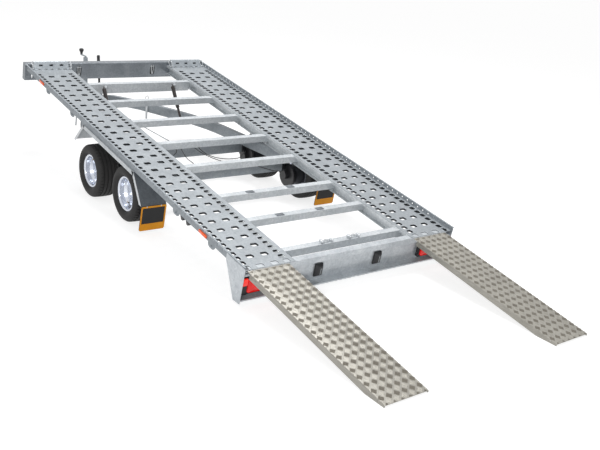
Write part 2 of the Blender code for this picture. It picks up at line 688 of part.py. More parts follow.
def damper(label, side, beam, bar):
    """Tube hung from the damper beam and a rod to the crossbar, each ending in a ring on its pin.

    The foot's ring is wide: it is where the closed linkage has its play.
    """
    x = side * DAMPER_X + DAMPER_SHIFT
    top = Vector((x, *tipped(DAMPER_TOP_S, -DAMPER_TOP_DROP)))
    low = Vector((x, *levelled(DAMPER_TOP_S, -DAMPER_TOP_DROP)))
    foot = Vector((x, DAMPER_FOOT_Y, DAMPER_FOOT_Z))
    upwards = (top - foot).normalized()
    along = upwards.to_track_quat("Z", "Y").to_matrix().to_4x4()
    top_bore = DAMPER_TOP_PIN_RADIUS + RUNNING
    foot_bore = DAMPER_FOOT_PIN_RADIUS + DAMPER_FOOT_PLAY + RUNNING
    neck = DAMPER_ROD_RADIUS + RUNNING
    tube_end = (foot - low).length - foot_bore - DAMPER_RING_WALL * 2.5
    rod_length = (foot - top).length - tube_end + DAMPER_ROD_RADIUS
    start = top_bore + DAMPER_RING_WALL / 4
    profile = [(0, -start), (top_bore + DAMPER_RING_WALL, -start), (DAMPER_TUBE_RADIUS, -DAMPER_CAP),
               (DAMPER_TUBE_RADIUS, -tube_end), (neck, -tube_end), (neck, -tube_end + 0.005),
               (DAMPER_TUBE_BORE, -tube_end + 0.005), (DAMPER_TUBE_BORE, -DAMPER_CAP), (0, -DAMPER_CAP)]
    tube = turned("tube", profile, 16, Matrix.Translation(top) @ along)
    keep(tube, "damper_tube_" + label, TRAILER, BLACK_PAINT)
    union(tube, ring("top_ring_" + label, top_bore, top))
    start = foot_bore + DAMPER_FOOT_PLAY * upwards.y + DAMPER_RING_WALL / 6
    profile = [(0, rod_length), (DAMPER_ROD_RADIUS, rod_length), (DAMPER_ROD_RADIUS, start + 0.006),
               (DAMPER_ROD_RADIUS * 0.7, start), (0, start)]
    stem = turned("stem", profile, 16, Matrix.Translation(foot) @ along)
    keep(stem, "damper_rod_" + label, TRAILER, BLACK_PAINT)
    union(stem, ring("foot_ring_" + label, foot_bore, foot + Vector((0, DAMPER_FOOT_PLAY, 0))))
    # A tab and pin under the beam
    s, n = DAMPER_TOP_S, -DAMPER_TOP_DROP
    tab = x + DAMPER_TUBE_RADIUS + 0.006
    face = DAMPER_BEAM_S - CROSSMEMBER_WIDTH / 2
    outline = arc((s, n), 0.014, 90, 270, 8) + [(face, n - 0.014), (face, n + 0.014)]
    union(beam, side_plate("tab_" + label, outline, tab, 0.006),
          rod("top_pin_" + label, (tab, s, n), (x - DAMPER_RING_WIDTH * 0.8, s, n), DAMPER_TOP_PIN_RADIUS, 12))
    # Two tabs and a pin before the crossbar
    y, z, face = DAMPER_FOOT_Y, DAMPER_FOOT_Z, DAMPER_FOOT_Y - CROSSBAR_SETBACK - WELD
    outline = arc((y, z), 0.01, -90, 90, 8) + [(face, ARM_TOP_Z - WELD), (face, ARM_TOP_Z - CROSSBAR_SIZE + WELD)]
    union(bar, *(side_plate(f"foot_tab_{hand}_{label}", outline, x + step, 0.005)
                 for hand, step in (("left", -DAMPER_FOOT_TABS), ("right", DAMPER_FOOT_TABS))),
          rod("foot_pin_" + label, (x - DAMPER_FOOT_TABS, y, z), (x + DAMPER_FOOT_TABS, y, z),
              DAMPER_FOOT_PIN_RADIUS, 12))


def drawbar_arm(label, side):
    """Box section that runs back over the axles from a tip beside the other arm's, with an ear for the pivot."""
    outer = offset_path(ARM_PATH, ARM_WIDTH)
    (x, y), (tip_x, tip_y) = outer[-2:]
    outer[-1] = (x + (tip_x - x) * (ARM_PATH[-1][1] - y) / (tip_y - y), ARM_PATH[-1][1])
    outline = list(ARM_PATH) + outer[::-1]
    body = level_plate("arm", sided(side, outline), (ARM_BOTTOM_Z + ARM_TOP_Z) / 2, ARM_HEIGHT)
    keep(body, "drawbar_arm_" + label, TRAILER, GALVANISED)
    ear = arc((PIVOT_Y, PIVOT_Z), PIVOT_EAR_RADIUS, 0, 180, 8)
    ear += [(PIVOT_Y - PIVOT_EAR_SPREAD, ARM_TOP_Z - WELD), (PIVOT_Y + PIVOT_EAR_SPREAD, ARM_TOP_Z - WELD)]
    pin = rod("pivot_pin_" + label, (side * (LUG_X - PIVOT_LUG_THICKNESS / 2 + WELD), PIVOT_Y, PIVOT_Z),
              (side * (EAR_X + PIVOT_LUG_THICKNESS), PIVOT_Y, PIVOT_Z), PIVOT_PIN_RADIUS)
    return union(body, side_plate("ear_" + label, ear, side * EAR_X, PIVOT_LUG_THICKNESS), pin)


def tyre(name, side, y):
    """Low, wide tyre with bulged side walls, open between its beads."""
    half, r, bead = TYRE_HALF_WIDTH, WHEEL_RADIUS, BEAD_RADIUS + RUNNING
    outside = [(bead, 0.0665), (0.146, 0.0712), (0.152, 0.083), (0.185, half), (r - 0.02, half - 0.007),
               (r - 0.004, half - 0.025), (r, half - 0.05)]
    inside = [(bead, 0.052), (r - 0.016, 0.07)]
    profile = outside + [(radius, -x) for radius, x in reversed(outside)]
    profile += [(radius, -x) for radius, x in inside] + list(reversed(inside))
    obj = turned("tyre", profile, 32, onto_x(side, (side * WHEEL_X, y, WHEEL_RADIUS)))
    return keep(obj, name, TRAILER, TYRE_RUBBER)


def rim(name, side, y):
    """Steel rim with a deep dished disc and a brake drum behind it."""
    w, t, depth = RIM_HALF_WIDTH, RIM_WALL, DISC_DEPTH
    back = DRUM_BACK_X - WHEEL_X
    bore = SPINDLE_RADIUS + RUNNING
    profile = [(0, 0.018), (HUB_RADIUS * 0.75, 0.018), (HUB_RADIUS, -depth + 0.002), (WELL_RADIUS - 0.01, -depth),
               (WELL_RADIUS - t, 0.004), (BEAD_RADIUS - t, 0.028), (BEAD_RADIUS - t, w - t),
               (RIM_FLANGE_RADIUS, w + t), (RIM_FLANGE_RADIUS, w), (BEAD_RADIUS, w - t - 0.001),
               (BEAD_RADIUS, 0.03), (WELL_RADIUS, 0.004), (WELL_RADIUS, -0.03), (BEAD_RADIUS, -0.046),
               (BEAD_RADIUS, -w + t + 0.001), (RIM_FLANGE_RADIUS, -w), (RIM_FLANGE_RADIUS, -w - t),
               (BEAD_RADIUS - t, -w + t), (BEAD_RADIUS - t, -0.048), (WELL_RADIUS - t, -0.032),
               (WELL_RADIUS - t, -depth - t), (DRUM_RADIUS, -depth - t), (DRUM_RADIUS, back), (bore, back),
               (bore, -depth + 0.01), (0, -depth + 0.01)]
    obj = turned("rim", profile, 16, onto_x(side, (side * WHEEL_X, y, WHEEL_RADIUS)))
    return keep(obj, name, TRAILER, RIM_SILVER)


def knuckle(name, side, y):
    """Trailing swing arm with its back plate and spindle."""
    near = AXLE_LENGTH / 2 + SEAT
    far = near + SWING_THICKNESS
    tube_y, tube_z = y + SWING_LEAD, AXLE_TOP_Z - AXLE_SIZE / 2
    lean = math.degrees(math.atan2(tube_z - WHEEL_RADIUS, tube_y - y))
    outline = arc((tube_y, tube_z), AXLE_SIZE / 2, lean - 90, lean + 90, 10)
    outline += arc((y, WHEEL_RADIUS), SWING_END_RADIUS, lean + 90, lean + 270, 10)
    body = side_plate("swing", outline, side * (near + far) / 2, SWING_THICKNESS)
    keep(body, name, TRAILER, BLACK_PAINT)
    disc = rod(name + "_disc", (side * (far - SHEET), y, WHEEL_RADIUS), (side * BACKPLATE_X, y, WHEEL_RADIUS),
               BACKPLATE_RADIUS, 20)
    spindle = rod(name + "_spindle", (side * far, y, WHEEL_RADIUS),
                  (side * (WHEEL_X - DISC_DEPTH + 0.006), y, WHEEL_RADIUS), SPINDLE_RADIUS, 20)
    return union(body, disc, spindle)


def build_axles():
    for label, y in (("rear", WHEEL_REAR_Y), ("front", WHEEL_REAR_Y + WHEELBASE)):
        centre = y + SWING_LEAD
        tube = block("axle", (-AXLE_LENGTH / 2, centre - AXLE_SIZE / 2, AXLE_TOP_Z - AXLE_SIZE),
                     (AXLE_LENGTH / 2, centre + AXLE_SIZE / 2, AXLE_TOP_Z))
        keep(tube, "axle_" + label, TRAILER, GALVANISED)
        for place, side in SIDES:
            knuckle(f"knuckle_{label}_{place}", side, y)
            rim(f"rim_{label}_{place}", side, y)
            tyre(f"tyre_{label}_{place}", side, y)


def build_drawbar():
    rear = ARM_PATH[-1][1] + SEAT
    front = rear + FRONT_PLATE_THICKNESS
    cross = block("plate", (-FRONT_PLATE_HALF, rear, ARM_BOTTOM_Z), (FRONT_PLATE_HALF, front, ARM_TOP_Z))
    keep(cross, "front_plate", TRAILER, GALVANISED)
    start, end = front + SEAT, front + SEAT + HOUSING_LENGTH
    half, tall = HOUSING_WIDTH / 2, HOUSING_HEIGHT / 2
    housing = block("housing", (-half, start, COUPLING_Z - tall), (half, end, COUPLING_Z + tall))
    keep(housing, "overrun_housing", TRAILER, GALVANISED)
    reach = JOCKEY_TUBE_RADIUS + 0.012
    clamp = block("clamp", (JOCKEY_X - reach, JOCKEY_Y - reach, COUPLING_Z - 0.03),
                  (-half + 0.005, JOCKEY_Y + reach, COUPLING_Z + 0.03))
    bore = rod("clamp_bore", (JOCKEY_X, JOCKEY_Y, COUPLING_Z - 0.05), (JOCKEY_X, JOCKEY_Y, COUPLING_Z + 0.05),
               JOCKEY_TUBE_RADIUS + SEAT, 24)
    union(housing, clamp)
    cut(housing, bore)
    head_rear = COUPLING_NOSE_Y - COUPLING_LENGTH
    length = head_rear - end - SEAT * 2
    rings = 7
    profile = [(0, 0)]
    for i in range(rings):
        profile += [(GAITER_RADIUS, -length * (i + 0.2) / rings), (GAITER_RADIUS - 0.009, -length * (i + 0.7) / rings)]
    profile += [(GAITER_RADIUS - 0.012, -length), (0, -length)]
    place = Matrix.Translation((0, head_rear - SEAT, COUPLING_Z)) @ Matrix.Rotation(math.radians(-90), 4, "X")
    keep(turned("gaiter", profile, 12, place), "drawbar_gaiter", TRAILER, BLACK_RUBBER)
    wide = COUPLING_WIDTH / 2
    outline = [(-wide * 0.8, head_rear), (wide * 0.8, head_rear)]
    outline += arc((0, COUPLING_NOSE_Y - wide), wide, 0, 180, 12)
    head = level_plate("head", outline, COUPLING_Z, COUPLING_HEIGHT)
    keep(head, "coupling_head", TRAILER, GALVANISED)
    low = COUPLING_Z - COUPLING_HEIGHT / 2
    cut(head, rod("ball_socket", (0, COUPLING_NOSE_Y - wide, low - 0.01), (0, COUPLING_NOSE_Y - wide, low + 0.045),
                  wide - COUPLING_WALL, 20))
    hub = (BRAKE_X, BRAKE_Y, COUPLING_Z)
    lever = rod("lever", hub, BRAKE_TOP, BRAKE_RADIUS, 12)
    keep(lever, "handbrake_lever", TRAILER, BLACK_PLASTIC)
    return union(lever, rod("brake_hub", (half + SEAT, BRAKE_Y, COUPLING_Z), (BRAKE_X + 0.015, BRAKE_Y, COUPLING_Z),
                            0.026, 16))


def build_jockey():
    outer, inner = JOCKEY_TUBE_RADIUS, JOCKEY_TUBE_RADIUS - JOCKEY_TUBE_WALL
    base, top = JOCKEY_TUBE_BOTTOM_Z, JOCKEY_TUBE_TOP_Z
    stand = frame("jockey_stand", TRAILER, (JOCKEY_X, JOCKEY_Y, 0))
    profile = [(0, top), (outer, top), (outer, base), (inner, base), (inner, top - 0.02), (0, top - 0.02)]
    tube = keep(turned("tube", profile, 16), "jockey_tube", stand, GALVANISED)
    level = top + CRANK_RADIUS + 0.004
    union(tube, rod("crank_stem", (0, 0, top - 0.01), (0, 0, level + 0.006), CRANK_RADIUS * 1.3, 12),
          rod("crank", (0, -0.01, level), (0, CRANK_REACH, level), CRANK_RADIUS, 12),
          rod("knob", (0, CRANK_REACH - CRANK_RADIUS, level), (0, CRANK_REACH - CRANK_RADIUS, level + KNOB_HEIGHT),
              CRANK_RADIUS * 1.5, 12))
    swivel = frame("jockey_swivel", stand)
    r = inner - RUNNING
    axle_z = JOCKEY_WHEEL_RADIUS
    leg = JOCKEY_WHEEL_WIDTH / 2 + 0.008
    crown = 2 * JOCKEY_WHEEL_RADIUS + 0.02
    stem = turned("stem", [(0, base + 0.2), (r, base + 0.2), (r, crown), (0, crown)], 16)
    keep(stem, "jockey_fork", swivel, GALVANISED)
    profile = [(-leg, axle_z - 0.02), (-leg, crown), (leg, crown), (leg, axle_z - 0.02)]
    union(stem, folded("fork_legs", profile, -JOCKEY_TRAIL - 0.02, 0.02, "Y", 0.004),
          rod("fork_pin", (-leg - 0.004, -JOCKEY_TRAIL, axle_z), (leg + 0.004, -JOCKEY_TRAIL, axle_z),
              JOCKEY_PIN_RADIUS, 16))
    half, radius, bore = JOCKEY_WHEEL_WIDTH / 2, JOCKEY_WHEEL_RADIUS, JOCKEY_PIN_RADIUS + RUNNING
    outside = [(bore, half), (0.03, half), (0.034, half * 0.6), (radius * 0.66, half * 0.6), (radius * 0.7, half),
               (radius - 0.006, half), (radius, half - 0.01)]
    profile = outside + [(reach, -x) for reach, x in reversed(outside)]
    keep(turned("wheel", profile, 16, onto_x(1, (0, -JOCKEY_TRAIL, axle_z))), "jockey_wheel", swivel, BLACK_RUBBER)


damper_beam = build_bed()
damper_bar = crossbar()
ramp("left", RAMP_LEFT_X)
ramp("right", RAMP_RIGHT_X)
for label, side in SIDES:
    drawbar_arm(label, side)
    damper(label, side, damper_beam, damper_bar)
build_axles()
build_drawbar()
build_jockey()
for obj in COLLECTION.objects:
    if obj.type == "MESH":
        obj.data.shade_smooth()
        obj.data.set_sharp_from_angle(angle=math.radians(35))
bpy.context.view_layer.update()
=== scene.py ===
# %% [markdown]
# # A tilting car trailer, dressed for its portrait
#
# The CAD model gives every part its size and place. This notebook adds what the eye expects on top: pressed holes
# in the tracks, chequer plate, tyre tread, lamps, cables and the finish of each metal. The first cell loads the
# CAD model as a fixed frame. Its objects sit at the origin with their place in their meshes, so a new piece that
# is modelled at its real place needs no fitting.

# %% Load the frame
import json
import math

import bmesh
import bpy
from mathutils import Matrix, Vector


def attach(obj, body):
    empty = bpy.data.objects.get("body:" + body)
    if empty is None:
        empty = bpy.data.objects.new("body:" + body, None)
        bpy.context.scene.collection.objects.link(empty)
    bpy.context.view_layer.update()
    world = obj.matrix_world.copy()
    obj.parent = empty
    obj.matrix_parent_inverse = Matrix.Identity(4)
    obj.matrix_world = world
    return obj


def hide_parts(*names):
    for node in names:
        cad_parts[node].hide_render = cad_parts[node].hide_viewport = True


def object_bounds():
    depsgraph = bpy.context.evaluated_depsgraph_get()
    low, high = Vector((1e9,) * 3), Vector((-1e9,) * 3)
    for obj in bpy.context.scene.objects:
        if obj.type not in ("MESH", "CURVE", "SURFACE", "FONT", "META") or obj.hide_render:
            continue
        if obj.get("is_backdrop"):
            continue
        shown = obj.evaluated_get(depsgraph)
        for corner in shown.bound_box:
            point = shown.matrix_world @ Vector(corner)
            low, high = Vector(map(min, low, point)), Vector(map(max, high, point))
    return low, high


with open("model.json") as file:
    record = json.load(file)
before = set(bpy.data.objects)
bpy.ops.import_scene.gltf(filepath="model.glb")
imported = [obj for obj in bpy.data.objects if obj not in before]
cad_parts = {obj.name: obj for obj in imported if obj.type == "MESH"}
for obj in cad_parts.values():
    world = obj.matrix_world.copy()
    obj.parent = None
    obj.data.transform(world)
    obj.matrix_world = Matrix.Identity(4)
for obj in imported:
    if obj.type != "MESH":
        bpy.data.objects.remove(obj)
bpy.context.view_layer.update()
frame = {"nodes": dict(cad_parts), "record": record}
NODES = frame["nodes"]

# %% [markdown]
# ## Places on the trailer
#
# The trailer was drawn in two layouts. The chassis is level: x to the right, y forwards, z up. The bed is tipped
# back by 8.78 degrees, and it is far easier to model flat, in (x, s, n): s runs along the bed from its rear edge
# and n is square to it. One matrix then tips a finished bed piece into place. The same matrix maps single points.

# %% The two layouts
CENTRE_Y = 1.983674747550134
TILT = math.radians(8.78)
REAR_LIP_HEIGHT = 0.297
MM = 0.001

CHASSIS = Matrix.Translation((0, -CENTRE_Y, 0))
BED = CHASSIS @ Matrix.Translation((0, 0, REAR_LIP_HEIGHT)) @ Matrix.Rotation(TILT, 4, "X")
SIDES = (("left", -1), ("right", 1))


def bed_point(x, s, n):
    """A place on the tipped bed, in the frame of the scene."""
    return BED @ Vector((x, s, n))


# %% [markdown]
# ## The camera
#
# The photograph was taken from behind and left of the trailer with a short telephoto lens, held a little askew.
# Matching the wheels, the rails and the ramps' feet gave these numbers: the direction back to the camera, its roll
# and its place. The picture is 600 x 450, so the focal length in pixels turns into millimetres on a 36 mm wide
# sensor.

# %% Camera
PICTURE_WIDTH = 600
FOCAL_PIXELS = 822.817
SENSOR = 36.0
CAMERA_PLACE = (-3.860, -4.029 - CENTRE_Y, 2.384)
azimuth, elevation, roll = (math.radians(v) for v in (-39.177, 19.553, 5.925))

camera_data = bpy.data.cameras.new("camera")
camera_data.sensor_width = SENSOR
camera_data.lens = FOCAL_PIXELS / PICTURE_WIDTH * SENSOR
camera_data.clip_end = 200
camera = bpy.data.objects.new("camera", camera_data)
bpy.context.scene.collection.objects.link(camera)
backwards = Vector((math.sin(azimuth) * math.cos(elevation), -math.cos(azimuth) * math.cos(elevation),
                    math.sin(elevation)))
level_right = Vector((math.cos(azimuth), math.sin(azimuth), 0))
level_up = backwards.cross(level_right)
axis_x = level_right * math.cos(roll) + level_up * math.sin(roll)
axis_y = level_up * math.cos(roll) - level_right * math.sin(roll)
turn = Matrix((axis_x, axis_y, backwards)).transposed().to_4x4()
camera.matrix_world = Matrix.Translation(CAMERA_PLACE) @ turn
bpy.context.scene.camera = camera
print("lens", round(camera_data.lens, 2), "mm")

# %% [markdown]
# ## Small helpers for materials
#
# Colours are written as sRGB hex, as a designer reads them off a swatch, and Blender wants linear values, so one
# function converts. Another adds one node with its settings and its links. Everything else is plain recipes.


# %% Colour and node helpers
def colour(code):
    """An sRGB hex colour as linear RGBA."""
    parts = [int(code[i:i + 2], 16) / 255 for i in (0, 2, 4)]
    return (*[v / 12.92 if v <= 0.04045 else ((v + 0.055) / 1.055) ** 2.4 for v in parts], 1.0)


def add(tree, kind, settings=None, **links):
    """Adds a node, sets its fields and socket values, and links sockets by name."""
    made = tree.nodes.new(kind)
    for key, value in (settings or {}).items():
        if isinstance(key, int) or key in made.inputs:
            made.inputs[key].default_value = value
        else:
            setattr(made, key, value)
    for key, source in links.items():
        name = key.replace("_", " ")
        socket = made.inputs[int(key[1:])] if key[0] == "i" and key[1:].isdigit() else made.inputs[name]
        tree.links.new(source, socket)
    return made


def start_material(name, **shader):
    """A material with its Principled shader, whose sockets are given by name."""
    made = bpy.data.materials.new(name)
    made.use_nodes = True
    tree = made.node_tree
    surface = tree.nodes["Principled BSDF"]
    for key, value in shader.items():
        surface.inputs[key.replace("_", " ")].default_value = value
    made.diffuse_color = surface.inputs["Base Color"].default_value
    return made, tree, surface


def feed(surface, **sources):
    """Links outputs to the shader's sockets, which are given by name."""
    for key, source in sources.items():
        surface.id_data.links.new(source, surface.inputs[key.replace("_", " ")])


def object_place(tree):
    return add(tree, "ShaderNodeTexCoord").outputs["Object"]


def noise(tree, scale, detail, roughness=0.5, place=None):
    """A noise, in object coordinates unless it gets another place."""
    return add(tree, "ShaderNodeTexNoise", {"Scale": scale, "Detail": detail, "Roughness": roughness},
               Vector=place or object_place(tree)).outputs["Fac"]


def between(tree, factor, low, high):
    """The factor, mapped to a range."""
    return add(tree, "ShaderNodeMapRange", {"To Min": low, "To Max": high}, Value=factor).outputs["Result"]


def ramp_of(tree, factor, *stops):
    """A colour ramp from (place, hex) stops."""
    made = add(tree, "ShaderNodeValToRGB", None, i0=factor)
    while len(made.color_ramp.elements) < len(stops):
        made.color_ramp.elements.new(1.0)
    for element, (place, code) in zip(made.color_ramp.elements, stops):
        element.position, element.color = place, colour(code)
    return made.outputs["Color"]


def bump(tree, surface, height, strength, distance):
    """Feeds a height pattern to the shader's normal; distance is the real depth of the relief."""
    made = add(tree, "ShaderNodeBump", {"Strength": strength, "Distance": distance}, Height=height)
    feed(surface, Normal=made.outputs["Normal"])


# %% [markdown]
# ## Metals
#
# Hot-dip galvanised steel is dull grey with a soft sheen. Its zinc freezes in crystals, the spangle, 5 to 15 mm
# across, each a slightly different grey, and runs leave cloudy patches as wide as a hand. A Voronoi texture gives
# the crystals and two noises give the clouds and the fine grain. The recipe takes its greys as arguments, so one
# steel comes in lighter and darker copies. The bars between the tracks are lighter than the sheets. Some copies are
# painted light and shade: darker for the drawn slot walls, the guards' legs and the front beam, lighter for the
# channels under the tracks and for the guards' tops and folded edges.

# %% Galvanised steel
SPANGLE = 14 * MM
ZINC_GRAIN = 3 * MM


def galvanised(name, dark, mid, light, roughness, metallic=0.75):
    made, tree, surface = start_material(name, Metallic=metallic, Roughness=roughness)
    clouds = noise(tree, 7.0, 4.0, 0.6)
    tint = ramp_of(tree, clouds, (0.25, dark), (0.5, mid), (0.75, light))
    crystals = add(tree, "ShaderNodeTexVoronoi", {"Scale": 1 / SPANGLE}, Vector=object_place(tree))
    grey = add(tree, "ShaderNodeRGBToBW", None, Color=crystals.outputs["Color"])
    flake = ramp_of(tree, grey.outputs["Val"], (0.0, "E2E4E6"), (1.0, "FFFFFF"))
    mixed = add(tree, "ShaderNodeMix", {"data_type": "RGBA", "blend_type": "MULTIPLY", 0: 1.0}, i6=tint, i7=flake)
    feed(surface, Base_Color=mixed.outputs[2], Roughness=between(tree, clouds, roughness - 0.07, roughness + 0.1))
    bump(tree, surface, noise(tree, 1 / ZINC_GRAIN, 3.0), 0.12, 0.3 * MM)
    return made


SHEET_ZINC = galvanised("galvanised_sheet", "8C9297", "989EA3", "A4AAAE", 0.5, 0.4)
DECK_ZINC = galvanised("galvanised_deck", "979CA0", "A0A5A9", "A9AEB2", 0.5, 0.35)
# Near-black zinc for the drawn walls of the track slots: painted shade.
PAINTED_SHADE_WALLS = galvanised("galvanised_edge", "1E2022", "26292C", "303336", 0.6, 0.2)
# A darker zinc for the front beam: painted shade on its upright face.
FRONT_PAINTED_SHADE = galvanised("galvanised_front", "7E8388", "898E93", "959A9F", 0.35, 0.6)
# A lighter zinc for the bars; on the guards' tops it is painted light.
BAR_ZINC = galvanised("galvanised_bar", "BDC2C5", "C9CDD0", "D4D7D9", 0.42, 0.35)
BEAM_ZINC = galvanised("galvanised_beam", "B9BEC3", "C7CCD0", "D4D8DB", 0.3, 0.45)
# A light zinc for the channels under the tracks: painted light, since they lie in shade and show through the slots.
CHANNEL_PAINTED_LIGHT = galvanised("galvanised_channel", "C8CDD0", "D4D8DA", "DEE1E3", 0.4, 0.5)
# A light zinc for small hardware; on the guards' folded edges it is a painted highlight.
BRIGHT_ZINC = galvanised("galvanised_lip", "CACED1", "D5D8DA", "DFE1E3", 0.35, 0.3)
# A dark zinc: painted shade on the guards' legs, and the dark rest pads.
DARK_ZINC_AND_SHADE = galvanised("galvanised_aged", "60656A", "6B7075", "777C81", 0.5, 0.5)

# %% [markdown]
# Ramps are rolled aluminium, warmer and smoother than zinc, with fine lines from the mill and dull scuffs where
# wheels have run. Rims are silver lacquer over steel. Rubber is nearly black and never glossy: a fine noise in its
# roughness and a bump of moulding grain keep it from looking like paint. Lamp lenses are clear red plastic over a
# bright reflector, so they get a deep colour, a smooth coat and a little emission: painted light that stands in for
# what the reflector sends back.

# %% Aluminium, lacquer, rubber and plastics
MILL_LINES = (140.0, 6.0, 140.0)
LENS_RIB = 4 * MM


def aluminium(name, dark, mid, light):
    made, tree, surface = start_material(name, Metallic=0.45, Roughness=0.42)
    stretched = add(tree, "ShaderNodeMapping", {"Scale": MILL_LINES}, Vector=object_place(tree))
    rolling = noise(tree, 1.0, 3.0, place=stretched.outputs["Vector"])
    scuffs = noise(tree, 9.0, 6.0, 0.7)
    mixed = add(tree, "ShaderNodeMath", {"operation": "ADD"}, i0=rolling, i1=scuffs)
    half = add(tree, "ShaderNodeMath", {"operation": "MULTIPLY", 1: 0.5}, i0=mixed.outputs["Value"])
    tint = ramp_of(tree, half.outputs["Value"], (0.3, dark), (0.5, mid), (0.7, light))
    feed(surface, Base_Color=tint, Roughness=between(tree, scuffs, 0.3, 0.52))
    bump(tree, surface, rolling, 0.08, 0.2 * MM)
    return made


def lacquer(name, dark, light, roughness, metallic, grain=2.0):
    """Sprayed paint: a faint cloud in its colour and the fine ripple called orange peel."""
    made, tree, surface = start_material(name, Metallic=metallic, Roughness=roughness)
    feed(surface, Base_Color=ramp_of(tree, noise(tree, 14.0, 3.0), (0.3, dark), (0.7, light)))
    bump(tree, surface, noise(tree, 1 / (grain * MM), 2.0), 0.1, 0.15 * MM)
    return made


def rubber(name, dark, light, grain):
    """Moulded rubber, dusty in places, with a grain of the given size in millimetres."""
    made, tree, surface = start_material(name, Roughness=0.7)
    dust = noise(tree, 11.0, 5.0, 0.65)
    feed(surface, Base_Color=ramp_of(tree, dust, (0.3, dark), (0.75, light)), Roughness=between(tree, dust, 0.6, 0.85))
    bump(tree, surface, noise(tree, 1 / (grain * MM), 2.0), 0.25, 0.3 * MM)
    return made


def lens(name, dark, light, glow):
    """Clear coloured plastic with moulded ribs; glow is an emission, painted light that stands in for what its
    reflector sends back.
    """
    made, tree, surface = start_material(name, Roughness=0.12, Coat_Weight=0.2, Coat_Roughness=0.05,
                                         Emission_Color=colour(light), Emission_Strength=glow)
    ribs = add(tree, "ShaderNodeTexWave", {"Scale": 1 / LENS_RIB / 6.28, "Distortion": 0.0},
               Vector=object_place(tree))
    feed(surface, Base_Color=ramp_of(tree, noise(tree, 30.0, 2.0), (0.35, dark), (0.65, light)))
    bump(tree, surface, ribs.outputs["Fac"], 0.3, 0.4 * MM)
    return made


ALUMINIUM = aluminium("mill_aluminium", "8E8B83", "9C9991", "ABA8A0")
# A darker copy for the chequer cells whose bars run one way: painted shade.
ALUMINIUM_PAINTED_SHADE = aluminium("dull_aluminium", "655F56", "726D63", "7E796F")
RIM_LACQUER = lacquer("silver_lacquer", "C3C8D3", "DADEE6", 0.22, 0.8)
BLACK_LACQUER = lacquer("black_lacquer", "121214", "1C1C1F", 0.38, 0.0)
GUARD_PLASTIC = lacquer("black_plastic", "1A1A1C", "242427", 0.5, 0.0, 1.2)
FLAP_YELLOW = lacquer("flap_yellow", "D98C00", "EA9C06", 0.5, 0.0, 3.0)
DAMPER_PAINT = lacquer("damper_paint", "1E1A1A", "332C2B", 0.35, 0.2)
BRASS = lacquer("brass", "A07C3C", "B89048", 0.3, 0.9)
TYRE_RUBBER = rubber("tyre_rubber", "121212", "201F1F", 1.5)
SOFT_RUBBER = rubber("moulded_rubber", "101011", "1B1B1C", 2.5)
# The glow of each lens and reflector is painted light.
LENS_RED = lens("lens_red", "C00804", "E81008", 0.3)
LENS_AMBER = lens("lens_amber", "DC4404", "EE5C08", 0.22)
REFLECTOR_RED = lens("reflector_red", "E01408", "FF2A14", 0.45)
LENS_CLEAR = lens("lens_clear", "8E9498", "A8AEB2", 0.0)
print("finishes ready")

# %% [markdown]
# ## Modelling helpers
#
# The pieces are modelled as by hand: add a primitive, enter edit mode, pick faces by their place, run an operator.
# Picking in code replaces the mouse, so it gets one small function: it hands the centre of each face, edge or
# point to a test. When a shape is done, its modifiers are applied and its place goes into its mesh.


# %% Pick, edit and place
TOUCH = 0.1 * MM


def alone(*objects):
    """Selects these objects only, the first one active."""
    bpy.ops.object.select_all(action="DESELECT")
    for obj in objects:
        obj.select_set(True)
    bpy.context.view_layer.objects.active = objects[0]


def applied():
    """The object just added, with its place and size in its mesh."""
    bpy.ops.object.transform_apply(location=True, rotation=True, scale=True)
    return bpy.context.object


def slab(low, high):
    """A box between two corners."""
    bpy.ops.object.select_all(action="DESELECT")
    bpy.ops.mesh.primitive_cube_add(size=1, location=[(a + b) / 2 for a, b in zip(low, high)])
    bpy.context.object.scale = [abs(b - a) for a, b in zip(low, high)]
    return applied()


def bar(start, end, radius, sides=12):
    """A round bar between two points."""
    start, end = Vector(start), Vector(end)
    bpy.ops.object.select_all(action="DESELECT")
    bpy.ops.mesh.primitive_cylinder_add(vertices=sides, radius=radius, depth=(end - start).length,
                                        location=(start + end) / 2,
                                        rotation=(end - start).to_track_quat("Z", "Y").to_euler())
    return applied()


def edit(obj):
    alone(obj)
    bpy.ops.object.mode_set(mode="EDIT")


def leave():
    bpy.ops.object.mode_set(mode="OBJECT")


def pick(obj, kind, test):
    """In edit mode, selects only the faces, edges or points whose centre passes the test."""
    bpy.ops.mesh.select_mode(type=kind)
    bpy.ops.mesh.select_all(action="DESELECT")
    bm = bmesh.from_edit_mesh(obj.data)
    parts = {"FACE": bm.faces, "EDGE": bm.edges, "VERT": bm.verts}[kind]
    count = 0
    for part in parts:
        centre = part.co if kind == "VERT" else sum((v.co for v in part.verts), Vector()) / len(part.verts)
        if test(centre, part):
            part.select_set(True)
            count += 1
    bm.select_flush_mode()
    bmesh.update_edit_mesh(obj.data)
    return count


def slice_at(axis, places):
    """Cuts the mesh in edit mode at each place along an axis, without removing anything."""
    normal = tuple(1.0 if i == axis else 0.0 for i in range(3))
    for place in places:
        bpy.ops.mesh.select_all(action="SELECT")
        bpy.ops.mesh.bisect(plane_co=tuple(place * v for v in normal), plane_no=normal)


def pull(move):
    """Extrudes what is picked."""
    bpy.ops.mesh.extrude_region_move(TRANSFORM_OT_translate={"value": move})


def add_modifier(obj, kind, **settings):
    """Adds a modifier, whose settings are given by name."""
    made = obj.modifiers.new(kind.lower(), kind)
    for key, value in settings.items():
        setattr(made, key, value)


def apply_all(obj):
    """Applies every modifier, in order."""
    alone(obj)
    for made in list(obj.modifiers):
        bpy.ops.object.modifier_apply(modifier=made.name)


